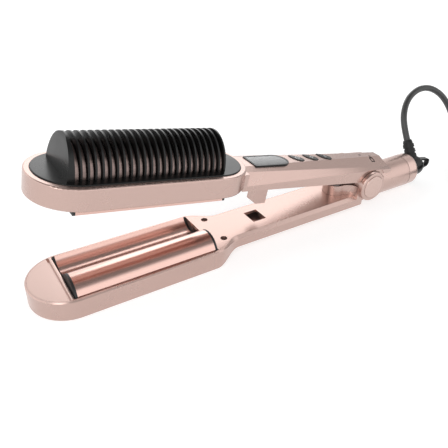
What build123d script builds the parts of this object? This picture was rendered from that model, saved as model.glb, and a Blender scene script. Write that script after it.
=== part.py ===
from build123d import *
from math import acos, asin, cos, pi, radians, sin, sqrt, tan
import os

# Hair waver with a comb head. Millimetres, +Z up, +X along the lower arm towards the cord.
# The part is laid out about the hinge: its axis is the line x = 0, z = HINGE_Z, and the floor is z = 0.
# The upper arm is laid out closed, in line with the lower arm, and is swung open by OPEN_ANGLE at the end.

# ---------------------------------------------------------------- hinge
HINGE_Z = 19.6              # hinge axis above the floor
OPEN_ANGLE = 10.86          # degrees between the closed and the open upper arm
PIN_R = 2.5
PIN_PLAY = 0.05             # running clearance of the knuckle on the pin
KNUCKLE_R = 10.4
KNUCKLE_INSET = 1.4         # the knuckle's end inside the lower handle's side
EAR_R = 10.86
EAR_THICKNESS = 4.2
MOVING_GAP = 0.4            # clearance between pieces of different bodies
CAP_R = 8.3
CAP_THICKNESS = 1.4
CAP_SEAT = 0.9              # depth of the cap's recess in the ear

# ---------------------------------------------------------------- lower arm
PADDLE_HALF = 23.2          # half width of the paddle
PADDLE_HEIGHT = 13.0        # rim above the floor
HANDLE_HALF = 15.7          # half width of the lower handle
PANEL_REACH = 129.5         # hinge axis to the front edge of the handle panel
PLATE_LENGTH = 86.2         # both wave plates
SEAL_THICKNESS = 1.5
SEAL_GAP = 0.4              # handle panel to the rear seal
TIP_CAP_LENGTH = 21.0       # front seal to the tip of the paddle
NECK_LENGTH = 19.0          # S-shaped neck from paddle to handle
NECK_OVERLAP = 1.0          # how far the neck starts ahead of the panel's front edge
HANDLE_REAR = 1.0           # hinge axis back to the end of the lower handle
HANDLE_CORNER_R = 8.0
RIM_WIDTH = 2.0
RIM_BEVEL = 0.7
RAIL_BEVEL = 2.1
PADDLE_FOOT = 1.5           # height and width of the paddle's rounded foot
HULL_HEIGHT = 5.3           # where the handle's wall turns into its boat-shaped underside
HULL_FLAT = 6.0             # half width of the underside's flat
FLOOR_WALL = 2.0
PANEL_THICKNESS = 2.0
PANEL_FIT = 0.12
PANEL_LEDGE = 2.1
SCREW_SETBACK = 9.0         # panel's front edge to its two screws
SCREW_Y = 12.1
SCREW_HEAD_R = 2.2
SCREW_HEAD_HEIGHT = 1.4
SCREW_SINK = 3.2            # how deep the screw heads lie below the panel
SCREW_SHANK_R = 1.0
SCREW_SHANK_LENGTH = 3.6
GROOVE_WIDTH = 1.5
GROOVE_DEPTH = 1.6
BEAD_WIDTH = 1.6
BEAD_RISE = 0.3             # bead above the cap
TIP_PLATE_THICKNESS = 2.0
TIP_PLATE_INSET = 1.3

# ---------------------------------------------------------------- wave plates
CREST_R = 11.2              # hump on the near side
CREST_Y = -9.8
CREST_Z = 8.4               # centre of the hump
DIP_R = 9.5                 # hollow on the far side
DIP_Y = 12.3
DIP_Z = 17.2                # centre of the hollow
PLATE_WALL = 2.0
TROUGH_FIT = 0.2
NOSE_GAP = 0.6              # tip cap to the front seal, which the upper seal swings past
HAIR_GAP = 2.9              # between the closed plates
HEATER_THICKNESS = 2.2
HEATER_HALF = 5.4
CARRIER_LIP = 0.9           # rims of the carrier that hold the heater
HEATER_SETBACK = 7.0        # heater ends short of the plate's ends

# ---------------------------------------------------------------- tower and opening spring
TOWER_X = -19.5
TOWER_R = 8.0
TOWER_TOP = 20.5
TOWER_OVERLAP = 4.2         # how far the tower reaches down into the handle
CUP_R = 7.2
CUP_FLOOR = 3.0
SPRING_R = 4.8
WIRE_R = 0.6
SPRING_TURNS = 5
BOSS_R = 5.8
BOSS_BOTTOM = 17.0          # closed height of the dome that presses on the spring

# ---------------------------------------------------------------- tail
TAIL_R = 12.0
TAIL_Z = 12.1
TAIL_FRONT = 11.5
TAIL_REAR = 46.8
TAIL_SPLIT_Z = 7.0
TAIL_WALL = 2.2
END_WALL = 3.0              # tail cover's wall that carries the spigot
RING_LENGTH = 9.6
RING_EDGE_R = 2.6
COLLAR_R = 8.6              # spigot that the lock ring turns on
COLLAR_BORE_R = 5.4

# ---------------------------------------------------------------- latch
SLOT_SETBACK = 17.9         # end of the neck to the slot
SLOT_LENGTH = 10.0
SLOT_HALF = 6.1
POST_FRONT_GAP = 1.6        # slot's front edge to the post
POST_REAR_GAP = 0.7         # slot's rear edge to the post
POST_HALF = 5.0
POST_BOTTOM = 8.3
CATCH_TRAVEL = 4.0
CATCH_Z = 9.5               # underside of the slider's tongue
TONGUE_THICKNESS = 1.1
TONGUE_HALF = 3.0
TONGUE_CLEAR = 0.6          # tongue to the post when unlocked
SLIDER_Z0 = 4.6
SLIDER_Z1 = 7.9
SLIDER_HALF = 6.0
SLIDER_REACH = 34.0         # slider's length behind its tongue
SLIDER_NOSE = 5.0           # slider's length ahead of its tongue

# ---------------------------------------------------------------- upper arm, closed
HEAD_HALF = 25.0
HEAD_NOSE = 19.6            # wave plate to the tip of the head
HEAD_HEEL = 22.7            # wave plate to the rear end of the head
HEAD_BOTTOM = 25.8
HEAD_TOP = 38.2
HEAD_WALL = 3.2
HEAD_LEDGE = 1.6
HEAD_SKIRT = 2.0            # wall of the head below the ledge
HEAD_BEVEL = 0.8
HEAD_BASE_THICKNESS = 1.8
UPPER_PLATE_HALF = 21.0
UPPER_PLATE_TOP = 28.4
NECK_FILLET = 8.0
WIRE_WAY_HALF = 5.0         # opening from the handle into the head for the wires
GRIP_TOP = 36.4
GRIP_HALF = 16.0
GRIP_OVERLAP = 6.3          # how far the handle runs in under the head's round end
GRIP_REAR = 17.0
GRIP_WALL = 1.8
GRIP_EDGE_R = 1.0
TOP_HALF_FRONT = 7.0        # half width of the flat top at the neck
TOP_HALF_REAR = 3.2
SHOULDER_HALF = 12.5
SHOULDER_Z_FRONT = 35.3
SHOULDER_Z_REAR = 32.0
FACET_Z_FRONT = 27.2
FACET_Z_REAR = 31.5
UNDER_Z_FRONT = 24.0
UNDER_Z_REAR = 22.0
UNDER_HALF = 15.7
END_TOP_SETBACK = 1.4       # how far the end of the top lies ahead of the end's widest point
END_BREAK_Z = 30.0
TAIL_RELIEF_X = 9.5         # behind this the underside is cut away over the tail
TAIL_RELIEF_Z = 28.2
POCKET_R = 11.3             # recess that clears the ears
STEP_R = 13.5               # shallow step round the recess
STEP_DEPTH = 0.45

# ---------------------------------------------------------------- comb
COMB_PLATE_TOP = 38.8
COMB_PLATE_THICKNESS = 2.2
COMB_PLATE_FIT = 0.15
COMB_HALF = 17.0
COMB_RIDGE = 57.7
COMB_MARGIN = 0.4           # first and last fin beyond the wave plate's ends
CAP_REACH = 3.6             # end cap's foot ahead of the first fin
CAP_LEAN = 1.9              # how far the cap leans back up to its shoulder
CAP_SHOULDER = 3.0          # height of the cap's rounded shoulder
FIN_COUNT = 24
FIN_THICKNESS = 1.0
HOT_FIN_THICKNESS = 1.8
HOT_FIN_DROP = 4.5          # ridge of the heated fins below the plastic ones
HOT_FIN_INSET = 1.5
HOT_FIN_FIT = 0.15
HOT_BAR_THICKNESS = 2.0

# ---------------------------------------------------------------- display and buttons
DISPLAY_SETBACK = 7.2       # head to the display
DISPLAY_LENGTH = 30.0
DISPLAY_HALF = 7.7
DISPLAY_Y = -0.8
DISPLAY_TOP = 36.9
BEZEL_THICKNESS = 2.6
BEZEL_BORDER = 1.2
GLASS_THICKNESS = 0.9
MODULE_THICKNESS = 1.6
BUTTON_SETBACK = 9.5        # display to the first button
BUTTON_PITCH = 12.4
BUTTON_Y = 0.6
BUTTON_LENGTH = 11.5
BUTTON_WIDTH = 6.2
BUTTON_NOSE_R = 0.6
BUTTON_SLANT = -54.9        # degrees from +X to the leaf's long axis
BUTTON_TOP = 36.9
BUTTON_FLANGE = 0.6
BUTTON_DROP = 1.1           # flange below the roof, which falls away to the sides
BUTTON_FLANGE_HEIGHT = 0.7
BUTTON_FIT = 0.3
BUTTON_TRAVEL = 0.8
SWITCH_SIZE = 3.4
SWITCH_HEIGHT = 1.6
BOARD_THICKNESS = 1.2
BOARD_HALF = 8.0
BOARD_POST_R = 1.6

# ---------------------------------------------------------------- cord and its swivel
SWIVEL_TILT = 32.0          # the cord leaves the swivel at this angle from upright
SWIVEL_X = 64.5             # the cord's exit along the tail
GLAND_R = 7.7
GLAND_NOSE_R = 5.0
GLAND_FRONT_GAP = 0.4
GLAND_LENGTH = 12.2
SPINDLE_R = 5.0
SPINDLE_FLANGE_R = 7.0
SPINDLE_SINK = 2.4          # how far the spindle is pressed into the gland
LOOP_REACH = 11.4           # hang loop beyond the gland's nose
LOOP_HALF_ROOT = 5.4
LOOP_HALF_TIP = 2.8
LOOP_STRAP = 1.4
LOOP_WIDTH = 3.6
RELIEF_BASE = 0.5           # strain relief's ends, from the tail's axis
RELIEF_TIP = 20.6
RELIEF_BASE_R = 4.6
RELIEF_MID_R = 4.3
RELIEF_TIP_R = 3.7
RELIEF_RIBS = 3
RIB_GROOVE = 0.7
CORD_R = 2.4
CORD_LEAD = 12.5            # straight run out of the strain relief
COIL_X = 124.0
COIL_Y = -38.0
COIL_MID_R = 27.0           # middle of the coil's turns
COIL_TURNS_WIDE = 3
COIL_LAYERS = 3
PLUG_LENGTH = 34.0
PLUG_SETBACK = 10.0         # the plug's cord end beyond the coil's middle
PLUG_HALF = 13.5
PLUG_THICKNESS = 9.0
PLUG_PIN_R = 2.0
PLUG_PIN_LENGTH = 19.0
PLUG_PIN_SPACING = 19.0

# ---------------------------------------------------------------- places worked out from the sizes
PANEL_FRONT = -PANEL_REACH
PLATE_REAR = PANEL_FRONT - SEAL_GAP - SEAL_THICKNESS
PLATE_FRONT = PLATE_REAR - PLATE_LENGTH
PADDLE_TIP = PLATE_FRONT - SEAL_THICKNESS - TIP_CAP_LENGTH
TIP_CENTRE = PADDLE_TIP + PADDLE_HALF
NECK_FRONT = PANEL_FRONT - NECK_OVERLAP
NECK_REAR = NECK_FRONT + NECK_LENGTH
SCREW_X = PANEL_FRONT + SCREW_SETBACK
PLATE_HALF = CREST_R - CREST_Y
TROUGH_HALF = PLATE_HALF + TROUGH_FIT
CAVITY_HALF = HANDLE_HALF - PANEL_LEDGE - PANEL_LEDGE
KNUCKLE_HALF = HANDLE_HALF - KNUCKLE_INSET
EAR_INNER = KNUCKLE_HALF + MOVING_GAP
EAR_OUTER = EAR_INNER + EAR_THICKNESS
HEATER_SEAT = DIP_Z - DIP_R - PLATE_WALL
UPPER_PLATE_BOTTOM = CREST_Z + CREST_R + HAIR_GAP
UPPER_HUMP_LOW = DIP_Z - DIP_R + HAIR_GAP
HEAD_TIP = PLATE_FRONT - HEAD_NOSE
HEAD_REAR = PLATE_REAR + HEAD_HEEL
GRIP_FRONT = HEAD_REAR - GRIP_OVERLAP
COMB_FRONT = PLATE_FRONT - COMB_MARGIN
COMB_REAR = PLATE_REAR + COMB_MARGIN
DISPLAY_FRONT = HEAD_REAR + DISPLAY_SETBACK
DISPLAY_REAR = DISPLAY_FRONT + DISPLAY_LENGTH
BUTTON_FIRST_X = DISPLAY_REAR + BUTTON_SETBACK
SLOT_X0 = NECK_REAR + SLOT_SETBACK
SLOT_X1 = SLOT_X0 + SLOT_LENGTH
RING_FRONT = TAIL_REAR + MOVING_GAP
RING_REAR = RING_FRONT + RING_LENGTH
GLAND_FRONT = RING_REAR + GLAND_FRONT_GAP
GLAND_REAR = GLAND_FRONT + GLAND_LENGTH
COLLAR_REAR = GLAND_FRONT - GLAND_FRONT_GAP
POST_FRONT = SLOT_X0 + POST_FRONT_GAP
POST_REAR = SLOT_X1 - POST_REAR_GAP
TONGUE_TIP = POST_REAR + TONGUE_CLEAR
PLATE_SEAT = COMB_PLATE_TOP - COMB_PLATE_THICKNESS
COMB_PLATE_HALF = HEAD_HALF - HEAD_WALL - COMB_PLATE_FIT
FIN_PITCH = (COMB_REAR - COMB_FRONT) / (FIN_COUNT - 1)
CORD_D = 2 * CORD_R


# ---------------------------------------------------------------- general helpers
def box(x0, x1, y0, y1, z0, z1):
    """A block between two corners."""
    return Pos((x0 + x1) / 2, (y0 + y1) / 2, (z0 + z1) / 2) * Box(x1 - x0, y1 - y0, z1 - z0)


def rod_x(radius, x0, x1, z=TAIL_Z):
    """A round bar along X, in the middle plane."""
    return Pos((x0 + x1) / 2, 0, z) * Rot(0, 90, 0) * Cylinder(radius, x1 - x0)


def rod_y(radius, y0, y1, x=0.0, z=HINGE_Z):
    """A round bar along Y, by default about the hinge axis."""
    return Pos(x, (y0 + y1) / 2, z) * Rot(90, 0, 0) * Cylinder(radius, y1 - y0)


def rod_z(radius, z0, z1, x=0.0, y=0.0):
    """An upright round bar."""
    return Pos(x, y, (z0 + z1) / 2) * Cylinder(radius, z1 - z0)


def both_sides(solid):
    """The solid and its mirror image across the middle plane."""
    return solid + solid.mirror(Plane.XZ)


def smooth(start, end, share):
    """Ease from start to end, level at both ends."""
    share = max(0.0, min(1.0, share))
    return start + (end - start) * share * share * (3 - 2 * share)


def across(x, face):
    """Stand a sketch of (y, z) points upright across the arm at x."""
    return Plane.YZ.offset(x) * face


def side_prism(points, half):
    """Extrude an outline of (x, z) points across the arm, half to each side."""
    outline = make_face(Polyline(*points, close=True))
    return extrude(Plane.XZ * outline, amount=half, both=True)


def plan_stadium(front, rear, half):
    """A round-ended plan outline from front to rear."""
    return Pos((front + rear) / 2, 0) * SlotOverall(rear - front, 2 * half)


def largest(shape):
    """The largest solid of a cut, which leaves out loose crumbs."""
    return max(shape.solids(), key=lambda solid: solid.volume)


# ---------------------------------------------------------------- lower arm
def lower_half_at(x):
    """Half width of the lower arm at x, through the S-shaped neck."""
    return smooth(PADDLE_HALF, HANDLE_HALF, (x - NECK_FRONT) / NECK_LENGTH)


def lower_section(x):
    """Outline across the lower arm: bevelled rim, upright wall and an underside that turns boat-shaped."""
    share = (x - NECK_FRONT) / NECK_LENGTH
    half = lower_half_at(x)
    bevel = smooth(RIM_BEVEL, RAIL_BEVEL, share)
    wall_foot = smooth(PADDLE_FOOT, HULL_HEIGHT, share)
    flat = smooth(PADDLE_HALF - PADDLE_FOOT, HULL_FLAT, share)
    turn_y = smooth(PADDLE_HALF, (HANDLE_HALF + HULL_FLAT) / 2 + 1.8, share)
    turn_z = smooth(0, HULL_HEIGHT / 2 + 0.15, share)
    right = [
        Line((0, PADDLE_HEIGHT), (half - bevel, PADDLE_HEIGHT)),
        Line((half - bevel, PADDLE_HEIGHT), (half, PADDLE_HEIGHT - bevel)),
        Line((half, PADDLE_HEIGHT - bevel), (half, wall_foot)),
        Bezier((half, wall_foot), (turn_y, turn_z), (flat, 0)),
        Line((flat, 0), (0, 0)),
    ]
    return right


def full_section(x):
    """The whole outline across the lower arm."""
    right = lower_section(x)
    left = [edge.mirror(Plane.YZ) for edge in right]
    return across(x, make_face(right + left))


def paddle_solid():
    """Straight paddle with its half-round tip."""
    straight = extrude(full_section(NECK_FRONT), amount=NECK_FRONT - TIP_CENTRE, dir=(-1, 0, 0))
    half_face = across(TIP_CENTRE, make_face(lower_section(TIP_CENTRE) + [Line((0, 0), (0, PADDLE_HEIGHT))]))
    tip = revolve(half_face, axis=Axis((TIP_CENTRE, 0, 0), (0, 0, 1)), revolution_arc=180)
    return straight + tip


def neck_solid():
    """S-shaped neck, lofted from the paddle's section to the handle's."""
    steps = 4
    stations = [NECK_FRONT + NECK_LENGTH * step / steps for step in range(steps + 1)]
    return loft([full_section(x) for x in stations])


def handle_solid():
    """Lower handle with rounded rear corners."""
    bar = extrude(full_section(NECK_REAR), amount=-HANDLE_REAR - NECK_REAR, dir=(1, 0, 0))
    length = -HANDLE_REAR - NECK_REAR
    plan = RectangleRounded(2 * length, 2 * HANDLE_HALF + 1, HANDLE_CORNER_R)
    keep = extrude(Pos(-HANDLE_REAR - length, 0) * plan, amount=PADDLE_HEIGHT + 1)
    return bar & keep


def tower_plan(gap=0.0):
    """Plan of the spring tower: round nose and concave flares that run out to the ears."""
    nose_r = TOWER_R + gap
    flare_end_x = -EAR_R - 0.2 - gap
    flare_end_y = EAR_INNER + 0.4
    start = (TOWER_X, nose_r)
    flare = TangentArc(start, (flare_end_x, flare_end_y), tangent=(1, 0))
    out = Polyline((flare_end_x, flare_end_y), (flare_end_x, HANDLE_HALF), (-4, HANDLE_HALF), (-4, 0))
    nose = ThreePointArc((TOWER_X - nose_r, 0), (TOWER_X - nose_r * cos(pi / 4), nose_r * sin(pi / 4)), start)
    base = Line((-4, 0), (TOWER_X - nose_r, 0))
    half = make_face([nose, flare] + out.edges() + [base])
    return half + half.mirror(Plane.XZ)


def panel_plan(inset):
    """Plan of the handle panel, let in between the rails by inset."""
    wide = PADDLE_HALF - inset
    slim = HANDLE_HALF - inset
    third = NECK_LENGTH / 3
    curve = Bezier((NECK_FRONT, wide), (NECK_FRONT + third, wide),
                   (NECK_REAR - third, slim), (NECK_REAR, slim))
    rest = Polyline((NECK_REAR, slim), (-EAR_R, slim), (-EAR_R, 0), (NECK_FRONT, 0), (NECK_FRONT, wide))
    half = make_face([curve] + rest.edges())
    plan = half + half.mirror(Plane.XZ)
    front_cut = Pos(PANEL_FRONT - PADDLE_HALF, 0) * Rectangle(2 * PADDLE_HALF, 4 * PADDLE_HALF)
    return plan - front_cut


def handle_panel():
    """Cover plate between the rails, with the latch slot, screw holes and a round cut for the tower."""
    plan = panel_plan(PANEL_LEDGE + PANEL_FIT) - tower_plan(PANEL_FIT)
    plan -= Pos((SLOT_X0 + SLOT_X1) / 2, 0) * Rectangle(SLOT_X1 - SLOT_X0, 2 * SLOT_HALF)
    plan -= Pos(SCREW_X, SCREW_Y) * Circle(SCREW_HEAD_R)
    plan -= Pos(SCREW_X, -SCREW_Y) * Circle(SCREW_HEAD_R)
    panel = extrude(Pos(0, 0, PADDLE_HEIGHT - PANEL_THICKNESS) * plan, amount=PANEL_THICKNESS)
    return largest(panel)


def tip_plate_plan(inset):
    """Plan of the end cap: the paddle's round tip, let in by inset."""
    outline = plan_stadium(PADDLE_TIP + inset, PADDLE_TIP + 4 * PADDLE_HALF, PADDLE_HALF - inset)
    rear = PLATE_FRONT - SEAL_THICKNESS - NOSE_GAP
    return outline & (Pos(rear - PADDLE_HALF * 2, 0) * Rectangle(4 * PADDLE_HALF, 4 * PADDLE_HALF))


def tip_cap():
    """End cap of the paddle with a groove and a rounded bead beside the plate."""
    bottom = PADDLE_HEIGHT - TIP_PLATE_THICKNESS
    plate = extrude(Pos(0, 0, bottom) * tip_plate_plan(TIP_PLATE_INSET), amount=TIP_PLATE_THICKNESS)
    rear = PLATE_FRONT - SEAL_THICKNESS - NOSE_GAP
    bead_front = rear - BEAD_WIDTH
    groove = box(bead_front - GROOVE_WIDTH, bead_front, -TROUGH_HALF, TROUGH_HALF,
                 PADDLE_HEIGHT - GROOVE_DEPTH, PADDLE_HEIGHT + 1)
    crown = PADDLE_HEIGHT + BEAD_RISE
    bead = box(bead_front, rear, -TROUGH_HALF, TROUGH_HALF, PADDLE_HEIGHT - GROOVE_DEPTH, crown)
    bead = fillet(bead.edges().filter_by(Axis.Y).group_by(Axis.Z)[-1], BEAD_WIDTH * 0.4)
    return plate - groove + bead


def handle_cavity():
    """Space under the panel for the lock slider and the wires."""
    top = PADDLE_HEIGHT
    low_half = HULL_FLAT - FLOOR_WALL / 2
    shoulder_z = HULL_HEIGHT + FLOOR_WALL / 2
    points = [(CAVITY_HALF, top), (CAVITY_HALF, shoulder_z), (low_half, FLOOR_WALL)]
    outline = points + [(-y, z) for y, z in reversed(points)]
    face = across(NECK_REAR, make_face(Polyline(*outline, close=True)))
    rear = TOWER_X - TOWER_R - FLOOR_WALL
    front = PANEL_FRONT - SEAL_GAP / 2
    return extrude(face, amount=rear - NECK_REAR, dir=(1, 0, 0)) + extrude(
        face, amount=NECK_REAR - front, dir=(-1, 0, 0))


def trough():
    """Open space of the paddle that holds the wave plate, its seals and the heater."""
    front = PLATE_FRONT - SEAL_THICKNESS - NOSE_GAP
    return box(front, PANEL_FRONT - PANEL_FIT, -TROUGH_HALF, TROUGH_HALF, FLOOR_WALL, PADDLE_HEIGHT + 1)


def rear_web():
    """Wall between the trough and the space under the panel, which the panel's front edge rests on."""
    return box(PANEL_FRONT - PANEL_FIT, PANEL_FRONT + 3, -CAVITY_HALF - 1, CAVITY_HALF + 1, 1,
               PADDLE_HEIGHT - PANEL_THICKNESS - 3)


def hinge_ears():
    """Two round ears that carry the hinge pin."""
    ear = rod_y(EAR_R, EAR_INNER, EAR_OUTER)
    outer = ear.edges().filter_by(GeomType.CIRCLE).sort_by(Axis.Y)[-1]
    ear = fillet(outer, 0.9)
    ear -= rod_y(CAP_R + PANEL_FIT, EAR_OUTER - CAP_SEAT, EAR_OUTER + 1)
    return both_sides(ear)


def tail_solid():
    """Round tail, hollow for the wires, from under the knuckle to the lock ring."""
    tube = rod_x(TAIL_R, -2 * TOWER_R, TAIL_REAR)
    return tube - rod_x(TAIL_R - TAIL_WALL, TAIL_FRONT + TAIL_WALL, TAIL_REAR + 1)


def screw_hole():
    """Stepped hole for one panel screw, in the plane of the panel's seat."""
    head_seat = PADDLE_HEIGHT - SCREW_SINK - SCREW_HEAD_HEIGHT
    hole = rod_z(SCREW_HEAD_R, head_seat, PADDLE_HEIGHT + 1, SCREW_X, SCREW_Y)
    return hole + rod_z(SCREW_SHANK_R, head_seat - SCREW_SHANK_LENGTH, head_seat + 1, SCREW_X, SCREW_Y)


def lower_housing():
    """One moulding: paddle, neck, handle, spring tower, hinge ears and the lower half of the tail."""
    shell = paddle_solid() + neck_solid() + handle_solid()
    shell -= trough()
    tip_seat = Pos(0, 0, PADDLE_HEIGHT - TIP_PLATE_THICKNESS) * tip_plate_plan(TIP_PLATE_INSET - 0.1)
    panel_seat = Pos(0, 0, PADDLE_HEIGHT - PANEL_THICKNESS) * panel_plan(PANEL_LEDGE)
    shell -= extrude(tip_seat, amount=3)
    shell -= extrude(panel_seat, amount=3)
    shell -= handle_cavity()
    shell += rear_web()
    shell -= both_sides(screw_hole())
    tower_foot = PADDLE_HEIGHT - TOWER_OVERLAP
    shell += extrude(Pos(0, 0, tower_foot) * tower_plan(), amount=TOWER_TOP - tower_foot)
    shell += tail_solid() & box(-2 * TOWER_R, TAIL_REAR, -TAIL_R, TAIL_R, 0, TAIL_SPLIT_Z)
    shell -= rod_z(CUP_R, CUP_FLOOR, TOWER_TOP + 1, TOWER_X)
    shell -= rod_y(KNUCKLE_R + MOVING_GAP, -EAR_INNER, EAR_INNER)
    shell += hinge_ears()
    shell -= rod_y(PIN_R, -EAR_OUTER, EAR_OUTER)
    return largest(shell)


def tail_cover():
    """Upper half of the tail, with the spigot that the lock ring turns on."""
    upper = tail_solid() & box(TAIL_FRONT, TAIL_REAR, -TAIL_R, TAIL_R, TAIL_SPLIT_Z, TAIL_Z + TAIL_R)
    wall_front = TAIL_REAR - END_WALL
    end_wall = rod_x(TAIL_R - TAIL_WALL - PIN_PLAY, wall_front, TAIL_REAR)
    rim = rod_x(TAIL_R, wall_front, TAIL_REAR) & box(wall_front, TAIL_REAR, -TAIL_R, TAIL_R, TAIL_SPLIT_Z, TAIL_Z + TAIL_R)
    spigot = rod_x(COLLAR_R, TAIL_REAR - END_WALL / 2, COLLAR_REAR)
    bore = rod_x(COLLAR_BORE_R, wall_front - 1, COLLAR_REAR + 1)
    return largest(upper + rim + end_wall + spigot - bore)


def lock_ring():
    """Rotary ring at the end of the tail that works the lock."""
    ring = rod_x(TAIL_R, RING_FRONT, RING_REAR)
    rear_edge = ring.edges().filter_by(GeomType.CIRCLE).sort_by(Axis.X)[-1]
    ring = fillet(rear_edge, RING_EDGE_R)
    return ring - rod_x(COLLAR_R + PIN_PLAY, RING_FRONT - 1, RING_REAR + 1)


# ---------------------------------------------------------------- wave plates and heaters
def slope_ends(crest_r, dip_r):
    """Where the straight slope between the hump and the hollow touches both arcs, in (y, z)."""
    across_y = DIP_Y - CREST_Y
    down_z = DIP_Z - CREST_Z
    span = sqrt(across_y ** 2 + down_z ** 2)
    lean = asin(down_z / span) + acos((crest_r + dip_r) / span)
    reach_y = cos(lean)
    reach_z = sin(lean)
    on_crest = (CREST_Y + crest_r * reach_y, CREST_Z + crest_r * reach_z)
    on_dip = (DIP_Y - dip_r * reach_y, DIP_Z - dip_r * reach_z)
    return on_crest, on_dip


def wave_face():
    """Outline of the lower plate: a hump, a straight slope and a hollow, in (y, z)."""
    on_crest, on_dip = slope_ends(CREST_R, DIP_R)
    edge_z = DIP_Z - sqrt(DIP_R ** 2 - (PLATE_HALF - DIP_Y) ** 2)
    hump = ThreePointArc((-PLATE_HALF, CREST_Z), (CREST_Y, CREST_Z + CREST_R), on_crest)
    hollow = ThreePointArc(on_dip, (DIP_Y, DIP_Z - DIP_R), (PLATE_HALF, edge_z))
    rest = Polyline((PLATE_HALF, edge_z), (PLATE_HALF, FLOOR_WALL), (-PLATE_HALF, FLOOR_WALL), (-PLATE_HALF, CREST_Z))
    return make_face([hump, Line(on_crest, on_dip), hollow] + rest.edges())


def lower_wave_plate():
    """Aluminium extrusion with a hump and a hollow, with a flat seat for the heater under the hollow."""
    inner_r = CREST_R - PLATE_WALL
    barrel = Pos(CREST_Y, CREST_Z) * Circle(inner_r)
    legs = Pos(CREST_Y, CREST_Z / 2) * Rectangle(2 * inner_r, CREST_Z)
    seat_right = PLATE_HALF - PLATE_WALL
    seat = Pos((CREST_Y + seat_right) / 2, HEATER_SEAT / 2) * Rectangle(seat_right - CREST_Y, HEATER_SEAT)
    profile = wave_face() - barrel - legs - seat
    return extrude(across(PLATE_FRONT, profile), amount=PLATE_LENGTH, dir=(1, 0, 0))


def lower_seal(x):
    """Heat-proof seal that closes one end of the lower plate."""
    return extrude(across(x, wave_face()), amount=SEAL_THICKNESS, dir=(1, 0, 0))


def lower_heater():
    """Flat heating strip against the seat under the hollow."""
    return box(PLATE_FRONT + HEATER_SETBACK, PLATE_REAR - HEATER_SETBACK, DIP_Y - HEATER_HALF,
               DIP_Y + HEATER_HALF, HEATER_SEAT - HEATER_THICKNESS, HEATER_SEAT)


def lower_insulator():
    """Carrier on the paddle's floor, with two rims that keep the heating strip in place."""
    outer = HEATER_HALF + CARRIER_LIP
    bottom = HEATER_SEAT - HEATER_THICKNESS
    tray = box(PLATE_FRONT, PLATE_REAR, DIP_Y - outer, DIP_Y + outer, FLOOR_WALL, bottom + CARRIER_LIP)
    return tray - box(PLATE_FRONT - 1, PLATE_REAR + 1, DIP_Y - HEATER_HALF, DIP_Y + HEATER_HALF, bottom, HEATER_SEAT)


def upper_plate_face():
    """Outline of the upper plate, which keeps the hair gap to the slope and the hollow below, in (y, z)."""
    crest_r = CREST_R + HAIR_GAP
    hump_r = DIP_R - HAIR_GAP
    on_crest, on_hump = slope_ends(crest_r, hump_r)
    side_y = DIP_Y + hump_r
    bend = radians(60)
    crown = ThreePointArc((CREST_Y, CREST_Z + crest_r), (CREST_Y + crest_r * cos(bend), CREST_Z + crest_r * sin(bend)),
                          on_crest)
    nose = ThreePointArc(on_hump, (DIP_Y, DIP_Z - hump_r), (side_y, DIP_Z))
    rest = Polyline((side_y, DIP_Z), (side_y, UPPER_PLATE_BOTTOM), (UPPER_PLATE_HALF, UPPER_PLATE_BOTTOM),
                    (UPPER_PLATE_HALF, UPPER_PLATE_TOP), (-UPPER_PLATE_HALF, UPPER_PLATE_TOP),
                    (-UPPER_PLATE_HALF, UPPER_PLATE_BOTTOM), (CREST_Y, UPPER_PLATE_BOTTOM))
    return make_face([crown, Line(on_crest, on_hump), nose] + rest.edges())


def upper_wave_plate():
    """Aluminium extrusion with one hump, hollow, with a channel on top for its heater."""
    hump_r = DIP_R - HAIR_GAP - PLATE_WALL
    seat_z = UPPER_PLATE_BOTTOM + PLATE_WALL
    half = UPPER_PLATE_HALF - PLATE_WALL
    channel = Pos(0, (seat_z + UPPER_PLATE_TOP + 1) / 2) * Rectangle(2 * half, UPPER_PLATE_TOP + 1 - seat_z)
    bore = Pos(DIP_Y, DIP_Z) * Circle(hump_r)
    bore += Pos(DIP_Y, (DIP_Z + seat_z) / 2) * Rectangle(2 * hump_r, seat_z - DIP_Z)
    profile = upper_plate_face() - channel - bore
    return extrude(across(PLATE_FRONT, profile), amount=PLATE_LENGTH, dir=(1, 0, 0))


def upper_seal(x):
    """Heat-proof seal that closes one end of the upper plate."""
    return extrude(across(x, upper_plate_face()), amount=SEAL_THICKNESS, dir=(1, 0, 0))


def upper_heater():
    """Flat heating strip on the flats beside the hump."""
    bottom = UPPER_PLATE_BOTTOM + PLATE_WALL
    return box(PLATE_FRONT + HEATER_SETBACK, PLATE_REAR - HEATER_SETBACK, -UPPER_PLATE_HALF + 3, UPPER_PLATE_HALF - 3,
               bottom, bottom + HEATER_THICKNESS)


# ---------------------------------------------------------------- upper arm, closed
def grip_section(share):
    """Faceted outline across the upper handle: 0 at the neck and 1 at the rear end."""
    def between(front, rear):
        return front + (rear - front) * share
    top = between(TOP_HALF_FRONT, TOP_HALF_REAR)
    right = [
        (top, GRIP_TOP),
        (SHOULDER_HALF, between(SHOULDER_Z_FRONT, SHOULDER_Z_REAR)),
        (GRIP_HALF, between(FACET_Z_FRONT, FACET_Z_REAR)),
        (UNDER_HALF, between(UNDER_Z_FRONT, UNDER_Z_REAR)),
    ]
    left = [(-y, z) for y, z in reversed(right)]
    return make_face(Polyline(*right, *left, close=True))


def grip_loft(inset=0.0):
    """Upper handle as a solid, faced inwards by inset."""
    front = grip_section(0)
    rear = grip_section(1)
    if inset:
        front = offset(front, -inset, kind=Kind.INTERSECTION)
        rear = offset(rear, -inset, kind=Kind.INTERSECTION)
    solid = loft([across(GRIP_FRONT, front), across(GRIP_REAR, rear)], ruled=True)
    return solid & side_prism(end_profile(inset), 2 * GRIP_HALF)


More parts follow.
